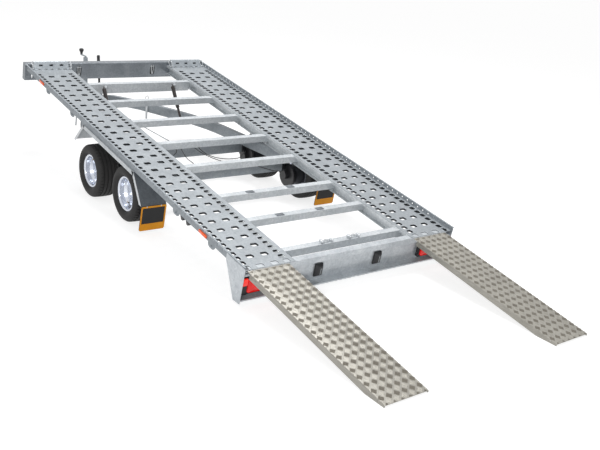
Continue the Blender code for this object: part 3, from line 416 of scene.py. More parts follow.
def repeat(obj, count, step, merge=True):
    """Copies of a piece, one step apart."""
    add_modifier(obj, "ARRAY", count=count, use_relative_offset=False, use_constant_offset=True,
                 constant_offset_displace=step, use_merge_vertices=merge, merge_threshold=0.0001)
    apply_all(obj)


def thicken(obj, thickness, offset=-1.0):
    add_modifier(obj, "SOLIDIFY", thickness=thickness, offset=offset, use_even_offset=True)
    apply_all(obj)


def round_edges(obj, width, segments=2, angle=40):
    add_modifier(obj, "BEVEL", width=width, segments=segments, limit_method="ANGLE",
                 angle_limit=math.radians(angle))
    apply_all(obj)
    return obj


def rounded(low, high, width):
    return round_edges(slab(low, high), width)


def reshape(obj, kind, test, operator, **settings):
    """Runs one operator on the parts of a piece that pass the test."""
    edit(obj)
    pick(obj, kind, test)
    operator(**settings)
    leave()
    return obj


def bevel_picked(obj, test, offset, segments):
    return reshape(obj, "EDGE", test, bpy.ops.mesh.bevel, offset=offset, segments=segments, affect="EDGES")


def facing_down(centre, face):
    return face.normal.z < -0.9


def facing_back(centre, face):
    return face.normal.y < -0.9


def across(centre, edge):
    """An edge that runs along s, through the thickness of a plate."""
    move = edge.verts[0].co - edge.verts[1].co
    return abs(move.x) < TOUCH and abs(move.z) < TOUCH


def tidy_mesh(obj):
    """Merges doubled points and turns the faces outwards."""
    edit(obj)
    bpy.ops.mesh.select_all(action="SELECT")
    bpy.ops.mesh.remove_doubles(threshold=0.00002)
    bpy.ops.mesh.normals_make_consistent(inside=False)
    leave()
    return obj


def join(*objects):
    alone(*objects)
    bpy.ops.object.join()
    return bpy.context.object


def twin(obj, matrix=Matrix()):
    """A copy with its own mesh, moved by a matrix."""
    alone(obj)
    bpy.ops.object.duplicate()
    made = bpy.context.object
    made.data.transform(matrix)
    return made


MIRROR_X = Matrix.Scale(-1, 4, (1, 0, 0))


def mirrored(obj):
    """A copy for the other side, its faces turned outwards again."""
    made = twin(obj, MIRROR_X)
    edit(made)
    bpy.ops.mesh.select_all(action="SELECT")
    bpy.ops.mesh.flip_normals()
    leave()
    return made


def handed(obj, side):
    """The piece itself on the right, and on the left its mirror image instead."""
    if side > 0:
        return obj
    made = mirrored(obj)
    bpy.data.objects.remove(obj, do_unlink=True)
    return made


def paint(obj, finish):
    """Gives a piece one finish."""
    obj.data.materials.clear()
    obj.data.materials.append(finish)


def settle(obj, name, body, finish, place=None, smooth=35, replaces=()):
    """The last step of each piece: smooth shading, its place in its mesh, its name, finish and body."""
    if place is not None:
        obj.data.transform(place)
    alone(obj)
    bpy.ops.object.transform_apply(location=True, rotation=True, scale=True)
    if smooth:
        bpy.ops.object.shade_smooth_by_angle(angle=math.radians(smooth))
    obj.name = name
    obj.data.name = name
    if finish is not None:
        paint(obj, finish)
    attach(obj, body)
    if replaces:
        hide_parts(*replaces)


def count_triangles(obj):
    print(obj.name, sum(len(p.vertices) - 2 for p in obj.data.polygons), "triangles")


def on_bed(obj, name, finish, smooth=35, replaces=()):
    """Settles a piece that rides on the bed."""
    settle(obj, name, "bed", finish, BED, smooth, replaces)


# %% [markdown]
# Many pieces start as a line: a plane loses all its corners but one, and that one is extruded from place to place.
# The line is then run out to a surface, which gets its wall and its bends, or it is spun to a turned shape. Wires
# are curves that become meshes.


# %% Folded sheet, turned shapes, wires and holes
def line_of(corners):
    """A line of points, one extruded from the next. It stays in edit mode."""
    bpy.ops.object.select_all(action="DESELECT")
    bpy.ops.mesh.primitive_plane_add(size=1)
    obj = bpy.context.object
    edit(obj)
    pick(obj, "VERT", lambda c, v: v.index > 0)
    bpy.ops.mesh.delete(type="VERT")
    pick(obj, "VERT", lambda c, v: True)
    bpy.ops.transform.translate(value=corners[0] - Vector((-0.5, -0.5, 0)))
    for before, after in zip(corners, corners[1:]):
        pull(after - before)
    return obj


def run_out(corners, along):
    """The line, run out to a surface without thickness."""
    obj = line_of(corners)
    bpy.ops.mesh.select_all(action="SELECT")
    pull(along)
    leave()
    return obj


def fold(points, start, end, thickness, bend=3 * MM, axis="S"):
    """Sheet folded to an open section and run along s (section in x and n) or along x (section in s and n)."""
    if axis == "S":
        obj = run_out([Vector((x, start, n)) for x, n in points], (0, end - start, 0))
    else:
        obj = run_out([Vector((start, s, n)) for s, n in points], (end - start, 0, 0))
    add_modifier(obj, "BEVEL", width=bend, segments=3, limit_method="ANGLE", angle_limit=math.radians(20))
    thicken(obj, thickness, 0.0)
    return tidy_mesh(obj)


def spun(points, steps):
    """A section of (radius, x) points spun about the x axis into a closed shell."""
    obj = line_of([Vector((x, 0, radius)) for radius, x in points])
    bpy.ops.mesh.select_all(action="SELECT")
    bpy.ops.mesh.spin(steps=steps, angle=math.radians(360), center=(0, 0, 0), axis=(1, 0, 0))
    leave()
    return tidy_mesh(obj)


def wire(points, radius):
    """A round wire, bent smoothly through the points."""
    curve = bpy.data.curves.new("wire", "CURVE")
    curve.dimensions = "3D"
    curve.bevel_depth, curve.bevel_resolution, curve.resolution_u = radius, 3, 6
    curve.use_fill_caps = True
    line = curve.splines.new("BEZIER")
    line.bezier_points.add(len(points) - 1)
    for knot, place in zip(line.bezier_points, points):
        knot.co = place
        knot.handle_left_type = knot.handle_right_type = "AUTO"
    obj = bpy.data.objects.new("wire", curve)
    bpy.context.scene.collection.objects.link(obj)
    alone(obj)
    bpy.ops.object.convert(target="MESH")
    return tidy_mesh(bpy.context.object)


def carve(obj, *cutters):
    """Cuts shapes out of a piece and deletes them."""
    for cutter in cutters:
        add_modifier(obj, "BOOLEAN", object=cutter, operation="DIFFERENCE", solver="EXACT")
        apply_all(obj)
        bpy.data.objects.remove(cutter, do_unlink=True)


# %% [markdown]
# ## The wheel tracks
#
# Each track is one long steel sheet. A press has punched four columns of slots in it and drawn their edges down,
# which stiffens the sheet and gives a tyre grip. The two middle columns repeat every 127 mm, the outer two twice as
# often. So only one 127 mm length is modelled: a plane is cut into cells, the cells that hold a slot are inset to the
# slot's size, their corners are rounded, and three insets with depth draw the edge down round a bend. Little light
# reaches the drawn walls, and their shade is painted: they get a near-black zinc. An array repeats that length 30
# times. The sheet gets its 3 mm last, so that every drawn edge gets it too.

# %% One length of track, 127 mm
SHEET_STEEL = 3 * MM
TREAD_N = -0.035
TREAD_IN, TREAD_OUT = 0.56, 0.9845
TREAD_REAR_S, TREAD_FRONT_S = 0.018, 4.0668
HOLE_PITCH = 0.127
HOLE_ROWS = 30
CELL_MARGIN = 6 * MM
SLOT_COLUMNS = ((0.620, 50 * MM, 2), (0.720, 60 * MM, 1), (0.840, 60 * MM, 1), (0.942, 50 * MM, 2))
SLOT_WIDTH = 45 * MM
SLOT_CORNER = 12 * MM
ROW_AT = (0.029, 0.0925)
DRAWN_EDGE = ((1.2 * MM, -0.6 * MM), (0.8 * MM, -1.8 * MM), (0.4 * MM, -13 * MM))

bpy.ops.object.select_all(action="DESELECT")
bpy.ops.mesh.primitive_plane_add(size=1, location=((TREAD_IN + TREAD_OUT) / 2, HOLE_PITCH / 2, 0))
bpy.context.object.scale = (TREAD_OUT - TREAD_IN, HOLE_PITCH, 1)
length = applied()
edit(length)
cuts_x = [x + sign * (wide / 2 + CELL_MARGIN) for x, wide, per in SLOT_COLUMNS for sign in (-1, 1)]
cuts_s = [s + sign * (SLOT_WIDTH / 2 + CELL_MARGIN) for s in ROW_AT for sign in (-1, 1)]
slice_at(0, cuts_x)
slice_at(1, cuts_s)
slots = [(x, s) for x, wide, per in SLOT_COLUMNS for s in ROW_AT[:per]]


def over_slot(centre, face):
    return any(abs(centre.x - x) < 4 * MM and abs(centre.y - s) < 4 * MM for x, s in slots)


pick(length, "FACE", over_slot)
bpy.ops.mesh.inset(thickness=CELL_MARGIN, use_individual=True)
bpy.ops.mesh.bevel(offset=SLOT_CORNER, segments=2, affect="VERTICES")
found = pick(length, "FACE", over_slot)
for inwards, down in DRAWN_EDGE:
    bpy.ops.mesh.inset(thickness=inwards, depth=down, use_individual=True)
bpy.ops.mesh.delete(type="FACE")
for finish in (DECK_ZINC, PAINTED_SHADE_WALLS):
    length.data.materials.append(finish)
# The upright faces, the drawn walls, get the near-black zinc: painted shade.
pick(length, "FACE", lambda centre, face: abs(face.normal.z) < 0.5)
length.active_material_index = 1
bpy.ops.object.material_slot_assign()
leave()
print("slots in one length:", found, "faces:", len(length.data.polygons))

# %% Thirty lengths make a track
EDGE_RISE = ((0.2 * MM, 0, 1.5 * MM), (0, 0, 4.5 * MM))

repeat(length, HOLE_ROWS, (0, HOLE_PITCH, 0))
length.data.transform(Matrix.Translation((0, TREAD_REAR_S, TREAD_N)))
edit(length)
front_end = TREAD_REAR_S + HOLE_PITCH * HOLE_ROWS
pick(length, "EDGE", lambda c, e: abs(c.y - front_end) < TOUCH and abs(c.z - TREAD_N) < TOUCH)
pull((0, TREAD_FRONT_S - front_end, 0))
pick(length, "EDGE", lambda c, e: abs(c.x - TREAD_OUT) < TOUCH)
for rise in EDGE_RISE:
    pull(rise)
leave()
for obj, (label, side) in zip((mirrored(length), length), SIDES):
    thicken(obj, SHEET_STEEL)
    on_bed(obj, "tread_" + label, None, 40, ["track_" + label])
    count_triangles(obj)

# %% [markdown]
# ## The channel under each track
#
# Welded under the inner edge runs a C-channel, open towards the middle, and halfway along hangs the lug with the
# bed's pivot. The channel is a line that is extruded from corner to corner round its section, run out along the bed
# and then given its wall, like folding card. A row of bolt heads shows on its lower flange where the crossmembers
# meet it.

# %% Channels and pivot lugs
CHANNEL_WEB_X = 0.60
CHANNEL_REAR_S = 0.0728
CHANNEL_TOP = TREAD_N - 4.5 * MM
CHANNEL_FOOT = CHANNEL_TOP - 80 * MM
CHANNEL_LIP = 20 * MM
LUG_TOP, LUG_WAIST = CHANNEL_TOP - 0.02, CHANNEL_TOP - 0.075
PIVOT = Vector((0, 2.163, 0.50))
PIVOT_S = PIVOT.y * math.cos(TILT) + (PIVOT.z - REAR_LIP_HEIGHT) * math.sin(TILT)
PIVOT_N = -PIVOT.y * math.sin(TILT) + (PIVOT.z - REAR_LIP_HEIGHT) * math.cos(TILT)
CROSSMEMBER_S = [4.07 * share for share in (0.0467, 0.1597, 0.2580, 0.3931, 0.5086, 0.6314, 0.7518)]
HEAD_X, HEAD_SPREAD = 0.579, 0.014

channel = fold(((TREAD_IN, CHANNEL_TOP - CHANNEL_LIP), (TREAD_IN, CHANNEL_TOP), (CHANNEL_WEB_X, CHANNEL_TOP),
                (CHANNEL_WEB_X, CHANNEL_FOOT), (TREAD_IN, CHANNEL_FOOT)), CHANNEL_REAR_S, TREAD_FRONT_S, SHEET_STEEL)
lug_x = CHANNEL_WEB_X + SHEET_STEEL / 2 + 4 * MM
lug = slab((lug_x - 4 * MM, PIVOT_S - 0.055, LUG_WAIST), (lug_x + 4 * MM, PIVOT_S + 0.055, LUG_TOP))
edit(lug)
pick(lug, "FACE", facing_down)
for drop, share in ((PIVOT_N - 0.012 - LUG_WAIST, 0.5), (-0.018, 0.55)):
    pull((0, 0, drop))
    bpy.ops.transform.resize(value=(1, share, 1), center_override=(lug_x, PIVOT_S, PIVOT_N))
leave()
heads = [bar((HEAD_X, s, CHANNEL_FOOT + 1 * MM), (HEAD_X, s, CHANNEL_FOOT + 9 * MM), 8 * MM, 6)
         for middle in CROSSMEMBER_S + [3.53] for s in (middle - HEAD_SPREAD, middle + HEAD_SPREAD)]
channel = join(join(channel, lug), *heads)
# Both channels get the light zinc: painted light, though they lie in shade under the tracks.
on_bed(mirrored(channel), "track_channel_left", CHANNEL_PAINTED_LIGHT)
on_bed(channel, "track_channel_right", CHANNEL_PAINTED_LIGHT)
print("channels with lugs and", len(heads), "bolt heads each")

# %% [markdown]
# ## The outer rails
#
# The rail is a Z: a lip turned out at the top, an upright web, and a foot turned in under the tread. The web has
# a row of small holes for lashings, at the same pitch as the outer slots. Again one pitch is modelled, as a surface
# without thickness: the Z is run out from a line, the web is cut into a cell, inset to the hole and emptied. An
# array repeats it, and the wall comes last.

# %% One pitch of rail, then 63 of them
RAIL_PITCH = HOLE_PITCH / 2
RAIL_COUNT = 63
RAIL_X = 0.9865
RAIL_END = 4.0037
RAIL_HOLE_N = -0.019
RAIL_CELL = 10 * MM
RAIL_FOOT_N = -0.058

rail_section = ((1.0, -1.5 * MM), (RAIL_X, -1.5 * MM), (RAIL_X, RAIL_HOLE_N + RAIL_CELL),
                (RAIL_X, RAIL_HOLE_N - RAIL_CELL), (RAIL_X, RAIL_FOOT_N), (RAIL_X - 0.05, RAIL_FOOT_N))
rail = run_out([Vector((x, 0, n)) for x, n in rail_section], (0, RAIL_PITCH, 0))
edit(rail)
slice_at(1, [RAIL_PITCH / 2 - RAIL_CELL, RAIL_PITCH / 2 + RAIL_CELL])


def web_cell(centre, face):
    off = centre - Vector((RAIL_X, RAIL_PITCH / 2, RAIL_HOLE_N))
    return abs(off.x) < MM and abs(off.y) < 2 * MM and abs(off.z) < 2 * MM


pick(rail, "FACE", web_cell)
bpy.ops.mesh.inset(thickness=RAIL_CELL * 0.42, use_individual=True)
bpy.ops.mesh.bevel(offset=3.2 * MM, segments=2, affect="VERTICES")
pick(rail, "FACE", web_cell)
bpy.ops.mesh.delete(type="FACE")
leave()
repeat(rail, RAIL_COUNT, (0, RAIL_PITCH, 0))
edit(rail)
pick(rail, "EDGE", lambda c, e: abs(c.y - RAIL_PITCH * RAIL_COUNT) < TOUCH)
pull((0, RAIL_END - RAIL_PITCH * RAIL_COUNT, 0))
leave()
tidy_mesh(rail)
for obj, (label, side) in zip((mirrored(rail), rail), SIDES):
    thicken(obj, SHEET_STEEL, 0.0)
    on_bed(obj, "side_rail_" + label, SHEET_ZINC, 40, ["outer_rail_" + label])
print("rails with", RAIL_COUNT, "holes each")

# %% [markdown]
# ## The ramps
#
# Each ramp is a chequer plate with its edges folded down. The relief is the five-bar pattern: cells 43.5 mm wide,
# turned 45 degrees to the ramp, each with five bars, and the bars of neighbouring cells lie crosswise. One bar is
# modelled, a box whose top face is drawn in so that its flanks slope. Arrays make a cell and a field of cells, and
# four bisects trim the field to the plate. The cells whose bars run one way, with their ground, get a darker
# aluminium: painted shade.

# %% A field of five-bar relief
BAR_LENGTH = 33 * MM
BAR_WIDTH = 4.6 * MM
BAR_HEIGHT = 1.6 * MM
CELL = 43.5 * MM
BARS = 5
BAR_PITCH = 6.6 * MM
FIELD_CELLS = 16

relief = slab((-BAR_LENGTH / 2, -BAR_WIDTH / 2, -0.4 * MM), (BAR_LENGTH / 2, BAR_WIDTH / 2, BAR_HEIGHT))
reshape(relief, "FACE", lambda c, f: f.normal.z > 0.9, bpy.ops.transform.resize, value=(0.86, 0.4, 1),
        center_override=(0, 0, BAR_HEIGHT))
relief.data.transform(Matrix.Translation((0, -(BARS - 1) / 2 * BAR_PITCH, 0)))
repeat(relief, BARS, (0, BAR_PITCH, 0), False)
crosswise = twin(relief, Matrix.Translation((CELL, 0, 0)) @ Matrix.Rotation(math.radians(90), 4, "Z"))
half = BAR_LENGTH / 2
ground = round_edges(slab((-half, -half, -0.4 * MM), (half, half, 0.25 * MM)), 0.2 * MM, 1)
relief = join(relief, ground)
# These cells and their ground get the darker aluminium, which is painted shade; the crosswise bars keep the light one.
relief.data.materials.append(ALUMINIUM_PAINTED_SHADE)
crosswise.data.materials.append(ALUMINIUM)
pair = join(relief, crosswise)
opposite = twin(pair, Matrix.Translation((CELL, CELL, 0)) @ Matrix.Rotation(math.radians(180), 4, "Z"))
field = join(pair, opposite)
for reach in ((2 * CELL, 0, 0), (0, 2 * CELL, 0)):
    repeat(field, FIELD_CELLS, reach, False)
field.data.transform(Matrix.Rotation(math.radians(45), 4, "Z"))
print("relief faces before trimming:", len(field.data.polygons))

# %% Trim the relief, fold the plate, place both ramps
RAMP_LENGTH = 1.40
RAMP_HALF = 0.343 / 2
RAMP_PLATE = 4 * MM
RAMP_FLANGE = 42 * MM
RAMP_TIP = 14 * MM
RAMP_TAPER = 0.16
RAMP_HINGE_S, RAMP_HINGE_N = 0.010, -0.037
RAMP_X = (-0.795, 0.743)
EDGE_MARGIN = 3 * MM
EAR_SPREAD = 0.12
PIN_S = 0.055
FIELD_PLACE, FIELD_STRETCH = (0.030, -1.6607, RAMP_PLATE / 2), (0.975, 1.032, 1, 1)

field.data.transform(Matrix.Translation(FIELD_PLACE) @ Matrix.Diagonal(FIELD_STRETCH))
edit(field)
for point, normal in (((RAMP_HALF - EDGE_MARGIN, 0, 0), (1, 0, 0)), ((EDGE_MARGIN - RAMP_HALF, 0, 0), (-1, 0, 0)),
                      ((0, -0.014, 0), (0, 1, 0)), ((0, EDGE_MARGIN - RAMP_LENGTH, 0), (0, -1, 0))):
    bpy.ops.mesh.select_all(action="SELECT")
    bpy.ops.mesh.bisect(plane_co=point, plane_no=normal, clear_outer=True, use_fill=True)
leave()
inner = RAMP_HALF - RAMP_PLATE / 2
plate = fold(((-inner, -RAMP_FLANGE), (-inner, 0), (inner, 0), (inner, -RAMP_FLANGE)), -RAMP_LENGTH, -RAMP_PLATE / 2,
             RAMP_PLATE, 4 * MM)
edit(plate)
bpy.ops.mesh.select_all(action="SELECT")
bpy.ops.mesh.bisect(plane_co=(0, -RAMP_LENGTH, -RAMP_TIP), plane_no=(0, RAMP_FLANGE - RAMP_TIP, RAMP_TAPER),
                    clear_inner=True, use_fill=True)
leave()
wide, lower = RAMP_HALF * 1.1, -9 * MM
carve(plate, slab((-wide, -0.034, -RAMP_FLANGE * 1.5), (wide, 0.01, -RAMP_PLATE)),
      *(slab((x - 4.5 * MM, lower, lower), (x + 4.5 * MM, -lower, -lower)) for x in (-EAR_SPREAD, EAR_SPREAD)),
      *(bar((sign * RAMP_HALF * 0.9, PIN_S - RAMP_LENGTH, lower), (sign * wide, PIN_S - RAMP_LENGTH, lower), 4 * MM)
        for sign in (-1, 1)))
hinges = [bar((x - 13.5 * MM, 0, 0), (x + 13.5 * MM, 0, 0), 4 * MM) for x in (-EAR_SPREAD, EAR_SPREAD)]
bolts = [bar((-RAMP_HALF - 4 * MM, y, -17 * MM), (-RAMP_HALF + 1 * MM, y, -17 * MM), 6 * MM, 6)
         for y in (-0.06, -0.10)]
for piece in (plate, *hinges, *bolts):
    paint(piece, ALUMINIUM)
ramp = join(plate, field, *hinges, *bolts)

hinge = bed_point(0, RAMP_HINGE_S, RAMP_HINGE_N)
slope = math.asin(hinge.z / math.hypot(RAMP_LENGTH, RAMP_TIP)) - math.atan2(RAMP_TIP, RAMP_LENGTH)
for obj, label, x in ((ramp, "left", RAMP_X[0]), (twin(ramp), "right", RAMP_X[1])):
    place = Matrix.Translation(bed_point(x, RAMP_HINGE_S, RAMP_HINGE_N)) @ Matrix.Rotation(slope, 4, "X")
    settle(obj, "chequer_ramp_" + label, "ramp_" + label, None, place, 30, ["ramp_" + label])
    count_triangles(obj)

# %% [markdown]
# ## Wheels
#
# A tyre is a section spun round the axle. The section has the bead, a bulged side wall with a moulded ring, a
# shoulder and a tread with four grooves. After the spin, every fourth slice of each shoulder is pushed in, which
# makes the shoulder blocks. Only the two ends of the section need care: they meet, so the tyre is one closed shell.

# %% Spin a tyre
WHEEL_X, WHEEL_Z = 0.88, 0.234
WHEEL_Y = {"rear": 1.821, "front": 2.505}
VALVE_TURN = {"rear": 155, "front": 28}
TYRE_SLICES = 180

half = [(0.1278, 0.0665), (0.140, 0.0702), (0.1465, 0.0735), (0.150, 0.0795), (0.153, 0.0845), (0.166, 0.0942),
        (0.171, 0.0975), (0.186, 0.0998), (0.192, 0.0985), (0.206, 0.0950), (0.2165, 0.0895), (0.2240, 0.0830),
        (0.2288, 0.0760), (0.2312, 0.0690), (0.2322, 0.0560), (0.2252, 0.0545), (0.2252, 0.0465), (0.2328, 0.0450),
        (0.2338, 0.0230), (0.2262, 0.0215), (0.2262, 0.0135), (0.2340, 0.0120)]
lining = [(0.1278, 0.052), (0.150, 0.056), (0.190, 0.084), (0.214, 0.076), (0.218, 0.050)]
section = half + [(r, -x) for r, x in reversed(half)] + [(r, -x) for r, x in lining] + list(reversed(lining)) + half[:1]
tyre = spun(section, TYRE_SLICES)
edit(tyre)
step = 2 * math.pi / TYRE_SLICES


def shoulder_gap(centre, face):
    turn = math.atan2(centre.y, centre.z) % (2 * math.pi)
    index = int(turn / step) + (2 if centre.x > 0 else 0)
    radius = math.hypot(centre.y, centre.z)
    return index % 4 == 0 and 0.057 < abs(centre.x) < 0.086 and radius > 0.222


gaps = pick(tyre, "FACE", shoulder_gap)
bpy.ops.mesh.extrude_region_shrink_fatten(TRANSFORM_OT_shrink_fatten={"value": -4.5 * MM})
leave()
print("tyre faces:", len(tyre.data.polygons), "faces pushed in:", gaps)

# %% [markdown]
# The rim is a deep dish of pressed steel: flange, bead seat, well and disc in one section. Five bolts hold it, a
# cap closes the hub, and the valve stands in the slope of the barrel. The brake drum is a separate casting
# behind the disc, so it gets its own section and a darker finish.

# %% Spin a rim, its drum and its small parts
RIM_SLICES, DRUM_SLICES = 96, 72
BOLTS, BOLT_CIRCLE, FIRST_BOLT = 5, 0.054, 20
rim_section = [(0.0, 0.020), (0.026, 0.020), (0.031, 0.017), (0.033, 0.004), (0.036, -0.0085), (0.070, -0.0095),
               (0.078, -0.006), (0.086, -0.006), (0.093, -0.012), (0.101, -0.010), (0.1065, 0.004), (0.1085, 0.010),
               (0.121, 0.0265), (0.1238, 0.032), (0.1238, 0.066), (0.1255, 0.071), (0.131, 0.0755), (0.1395, 0.0775),
               (0.1435, 0.0760), (0.1440, 0.0725), (0.1415, 0.0715), (0.133, 0.0722), (0.127, 0.068), (0.127, 0.030),
               (0.110, 0.004), (0.110, -0.030), (0.127, -0.046), (0.127, -0.072), (0.1435, -0.0765), (0.1440, -0.079),
               (0.124, -0.073), (0.124, -0.048), (0.107, -0.032), (0.107, -0.0145), (0.030, -0.0145), (0.0, -0.0145)]
rim = spun(rim_section, RIM_SLICES)
bolts = []
for i in range(BOLTS):
    turn = math.radians(360 / BOLTS * i + FIRST_BOLT)
    y, z = BOLT_CIRCLE * math.cos(turn), BOLT_CIRCLE * math.sin(turn)
    bolts.append(round_edges(bar((-0.010, y, z), (0.006, y, z), 8.5 * MM, 6), 1.2 * MM, 1, 50))
rim = join(rim, *bolts)
drum = spun([(0.030, -0.0150), (0.088, -0.0150), (0.0935, -0.019), (0.0935, -0.060), (0.0948, -0.062), (0.0948, -0.075),
             (0.0935, -0.077), (0.0935, -0.140), (0.0948, -0.144), (0.0948, -0.1575), (0.088, -0.1575),
             (0.088, -0.030), (0.030, -0.030), (0.030, -0.0150)], DRUM_SLICES)
for end in ("rear", "front"):
    for label, side in SIDES:
        body = f"wheel_{end}_{label}"
        place = CHASSIS @ Matrix.Translation((side * WHEEL_X, WHEEL_Y[end], WHEEL_Z))
        if side < 0:
            place = place @ Matrix.Rotation(math.radians(180), 4, "Z")
        place = place @ Matrix.Rotation(math.radians(VALVE_TURN[end]), 4, "X")
        for source, name, finish, slot, smooth, replaces in (
                (tyre, "treaded_", TYRE_RUBBER, "tyre_rubber", 30, [f"tyre_{end}_{label}"]),
                (rim, "dished_rim_", RIM_LACQUER, "rim_silver", 35, [f"rim_{end}_{label}"]),
                (drum, "drum_", BLACK_LACQUER, "black_paint", 35, ())):
            settle(twin(source), name + body, body, finish, place, smooth, replaces)
        stem = bar((0.013, 0, 0.1145), (0.030, 0, 0.1005), 4.5 * MM)
        cap = bar((0.0295, 0, 0.101), (0.0375, 0, 0.0945), 3.6 * MM)
        settle(stem, "valve_" + body, body, SOFT_RUBBER, place)
        settle(cap, "valve_cap_" + body, body, BRASS, place)
for spare in (tyre, rim, drum):
    bpy.data.objects.remove(spare, do_unlink=True)
print("four wheels")

# %% [markdown]
# ## Mudguards and flaps
#
# The guards are bent sheets, and their slanted legs have a folded edge on the outside. The legs get a dark zinc,
# painted shade, and the folded edges a light one, a painted highlight; the guards' tops get the light bar zinc,
# painted light where they lie under the deck. Behind the wheels hangs a flap: black rubber in a yellow frame, held
# by two clips. The frame is a thin plate in front of the flap, with a window cut out of it.

# %% Guard edges and framed flaps
GUARD_OUTER = 0.998
GUARD_WIDTH = 0.223
GUARD_SHEET = 2 * MM
FLAP_TOP_S, FLAP_TOP_N = 1.4357, -0.276
FLAP_HEIGHT = 0.218
LEG_TOP, LEG_FOOT = (1.62, -0.0608), (1.437, -0.276)
FRONT_TOP, FRONT_FOOT = (2.60, -0.0608), (2.76, -0.262)
FLAP_FRONT_S = FLAP_TOP_S - 6 * MM
FLAP_FOOT_N = FLAP_TOP_N - FLAP_HEIGHT

for label, side in SIDES:
    low, high = sorted((side * (GUARD_OUTER - GUARD_WIDTH), side * GUARD_OUTER))
    leg = fold(((LEG_FOOT[0], LEG_FOOT[1] - 21 * MM), LEG_FOOT, (LEG_TOP[0] - 1 * MM, LEG_TOP[1] - 1 * MM)), low, high,
               GUARD_SHEET, axis="X")
    # The leg gets the dark zinc: painted shade.
    on_bed(leg, "guard_leg_" + label, DARK_ZINC_AND_SHADE, 30)
    guard = fold((LEG_TOP, FRONT_TOP, FRONT_FOOT), low, high, GUARD_SHEET, axis="X")
    outer, near = side * GUARD_OUTER, side * (GUARD_OUTER - GUARD_SHEET)
    skirt = slab((near, LEG_TOP[0], -0.095), (outer, FRONT_TOP[0], LEG_TOP[1]))
    # The guard gets the light bar zinc: painted light on its top, which lies under the deck.
    on_bed(join(guard, skirt), "guard_" + label, BAR_ZINC, 30, ["mudguard_" + label])
    for place, top, foot, lean in (("rear", LEG_TOP, LEG_FOOT, 0.040), ("front", FRONT_TOP, FRONT_FOOT, -0.030)):
        edge = slab((near, top[0], top[1] - 1 * MM), (outer, top[0] + lean, top[1]))
        reshape(edge, "FACE", facing_down, bpy.ops.transform.translate,
                value=(0, foot[0] - top[0], foot[1] - top[1] + 1 * MM))
        # The folded edge gets the light zinc: a painted highlight.
        on_bed(edge, f"guard_edge_{place}_{label}", BRIGHT_ZINC)

    flap = bevel_picked(slab((low, FLAP_FRONT_S, FLAP_FOOT_N), (high, FLAP_TOP_S - 1.5 * MM, FLAP_TOP_N)), across,
                        14 * MM, 5)
    reshape(flap, "FACE", facing_back, bpy.ops.mesh.inset, thickness=1.5 * MM, depth=0)
    on_bed(flap, "flap_" + label, SOFT_RUBBER, 35, ["mud_flap_" + label])

    border = bevel_picked(slab((low + 1 * MM, FLAP_TOP_S - 7.2 * MM, FLAP_FOOT_N + 1 * MM),
                               (high - 1 * MM, FLAP_FRONT_S, FLAP_TOP_N - 1 * MM)), across, 13 * MM, 5)
    window = bevel_picked(slab((low + 14 * MM, FLAP_TOP_S - 0.02, FLAP_FOOT_N + 62 * MM),
                               (high - 14 * MM, FLAP_TOP_S + 0.02, FLAP_TOP_N - 16 * MM)), across, 5 * MM, 3)
    carve(border, window)
    on_bed(border, "flap_frame_" + label, FLAP_YELLOW)

    clips = [rounded((x - 4 * MM, FLAP_TOP_S - 9 * MM, FLAP_TOP_N - 11 * MM),
                     (x + 4 * MM, FLAP_TOP_S - 6.5 * MM, FLAP_TOP_N + 2 * MM), 1 * MM)
             for x in (low + 0.22 * GUARD_WIDTH, low + 0.78 * GUARD_WIDTH)]
    on_bed(join(*clips), "flap_clips_" + label, BRIGHT_ZINC)
print("guard edges, flaps, frames and clips")

# %% [markdown]
# ## Wheel stops
#
# At the front of each track a leaning plate stops the car. Its top is rolled over, its foot is cut in waves, and
# three slots take a strap. Beside it stand two hooks of bent wire. The plate is a folded strip, and the slots are
# cut by booleans, because each is used only three times. The hooks are curves with a round section.

# %% Stops with slots, and their hooks
STOP_IN, STOP_OUT = 0.585, 0.935
STOP_LOW, STOP_HIGH = -0.0335, 0.030
STOP_FOOT, STOP_TOP = 3.925, 3.985
STOP_SLOTS = (0.655, 0.76, 0.865)
STOP_NOTCHES = (0.625, 0.69, 0.755, 0.82, 0.885)
HOOK_BENDS = ((0, 3.925, -0.024), (0, 3.930, 0.010), (4, 3.952, 0.029), (16, 3.958, 0.0345), (22, 3.962, 0.024),
              (20, 3.950, 0.000), (12, 3.934, -0.024))

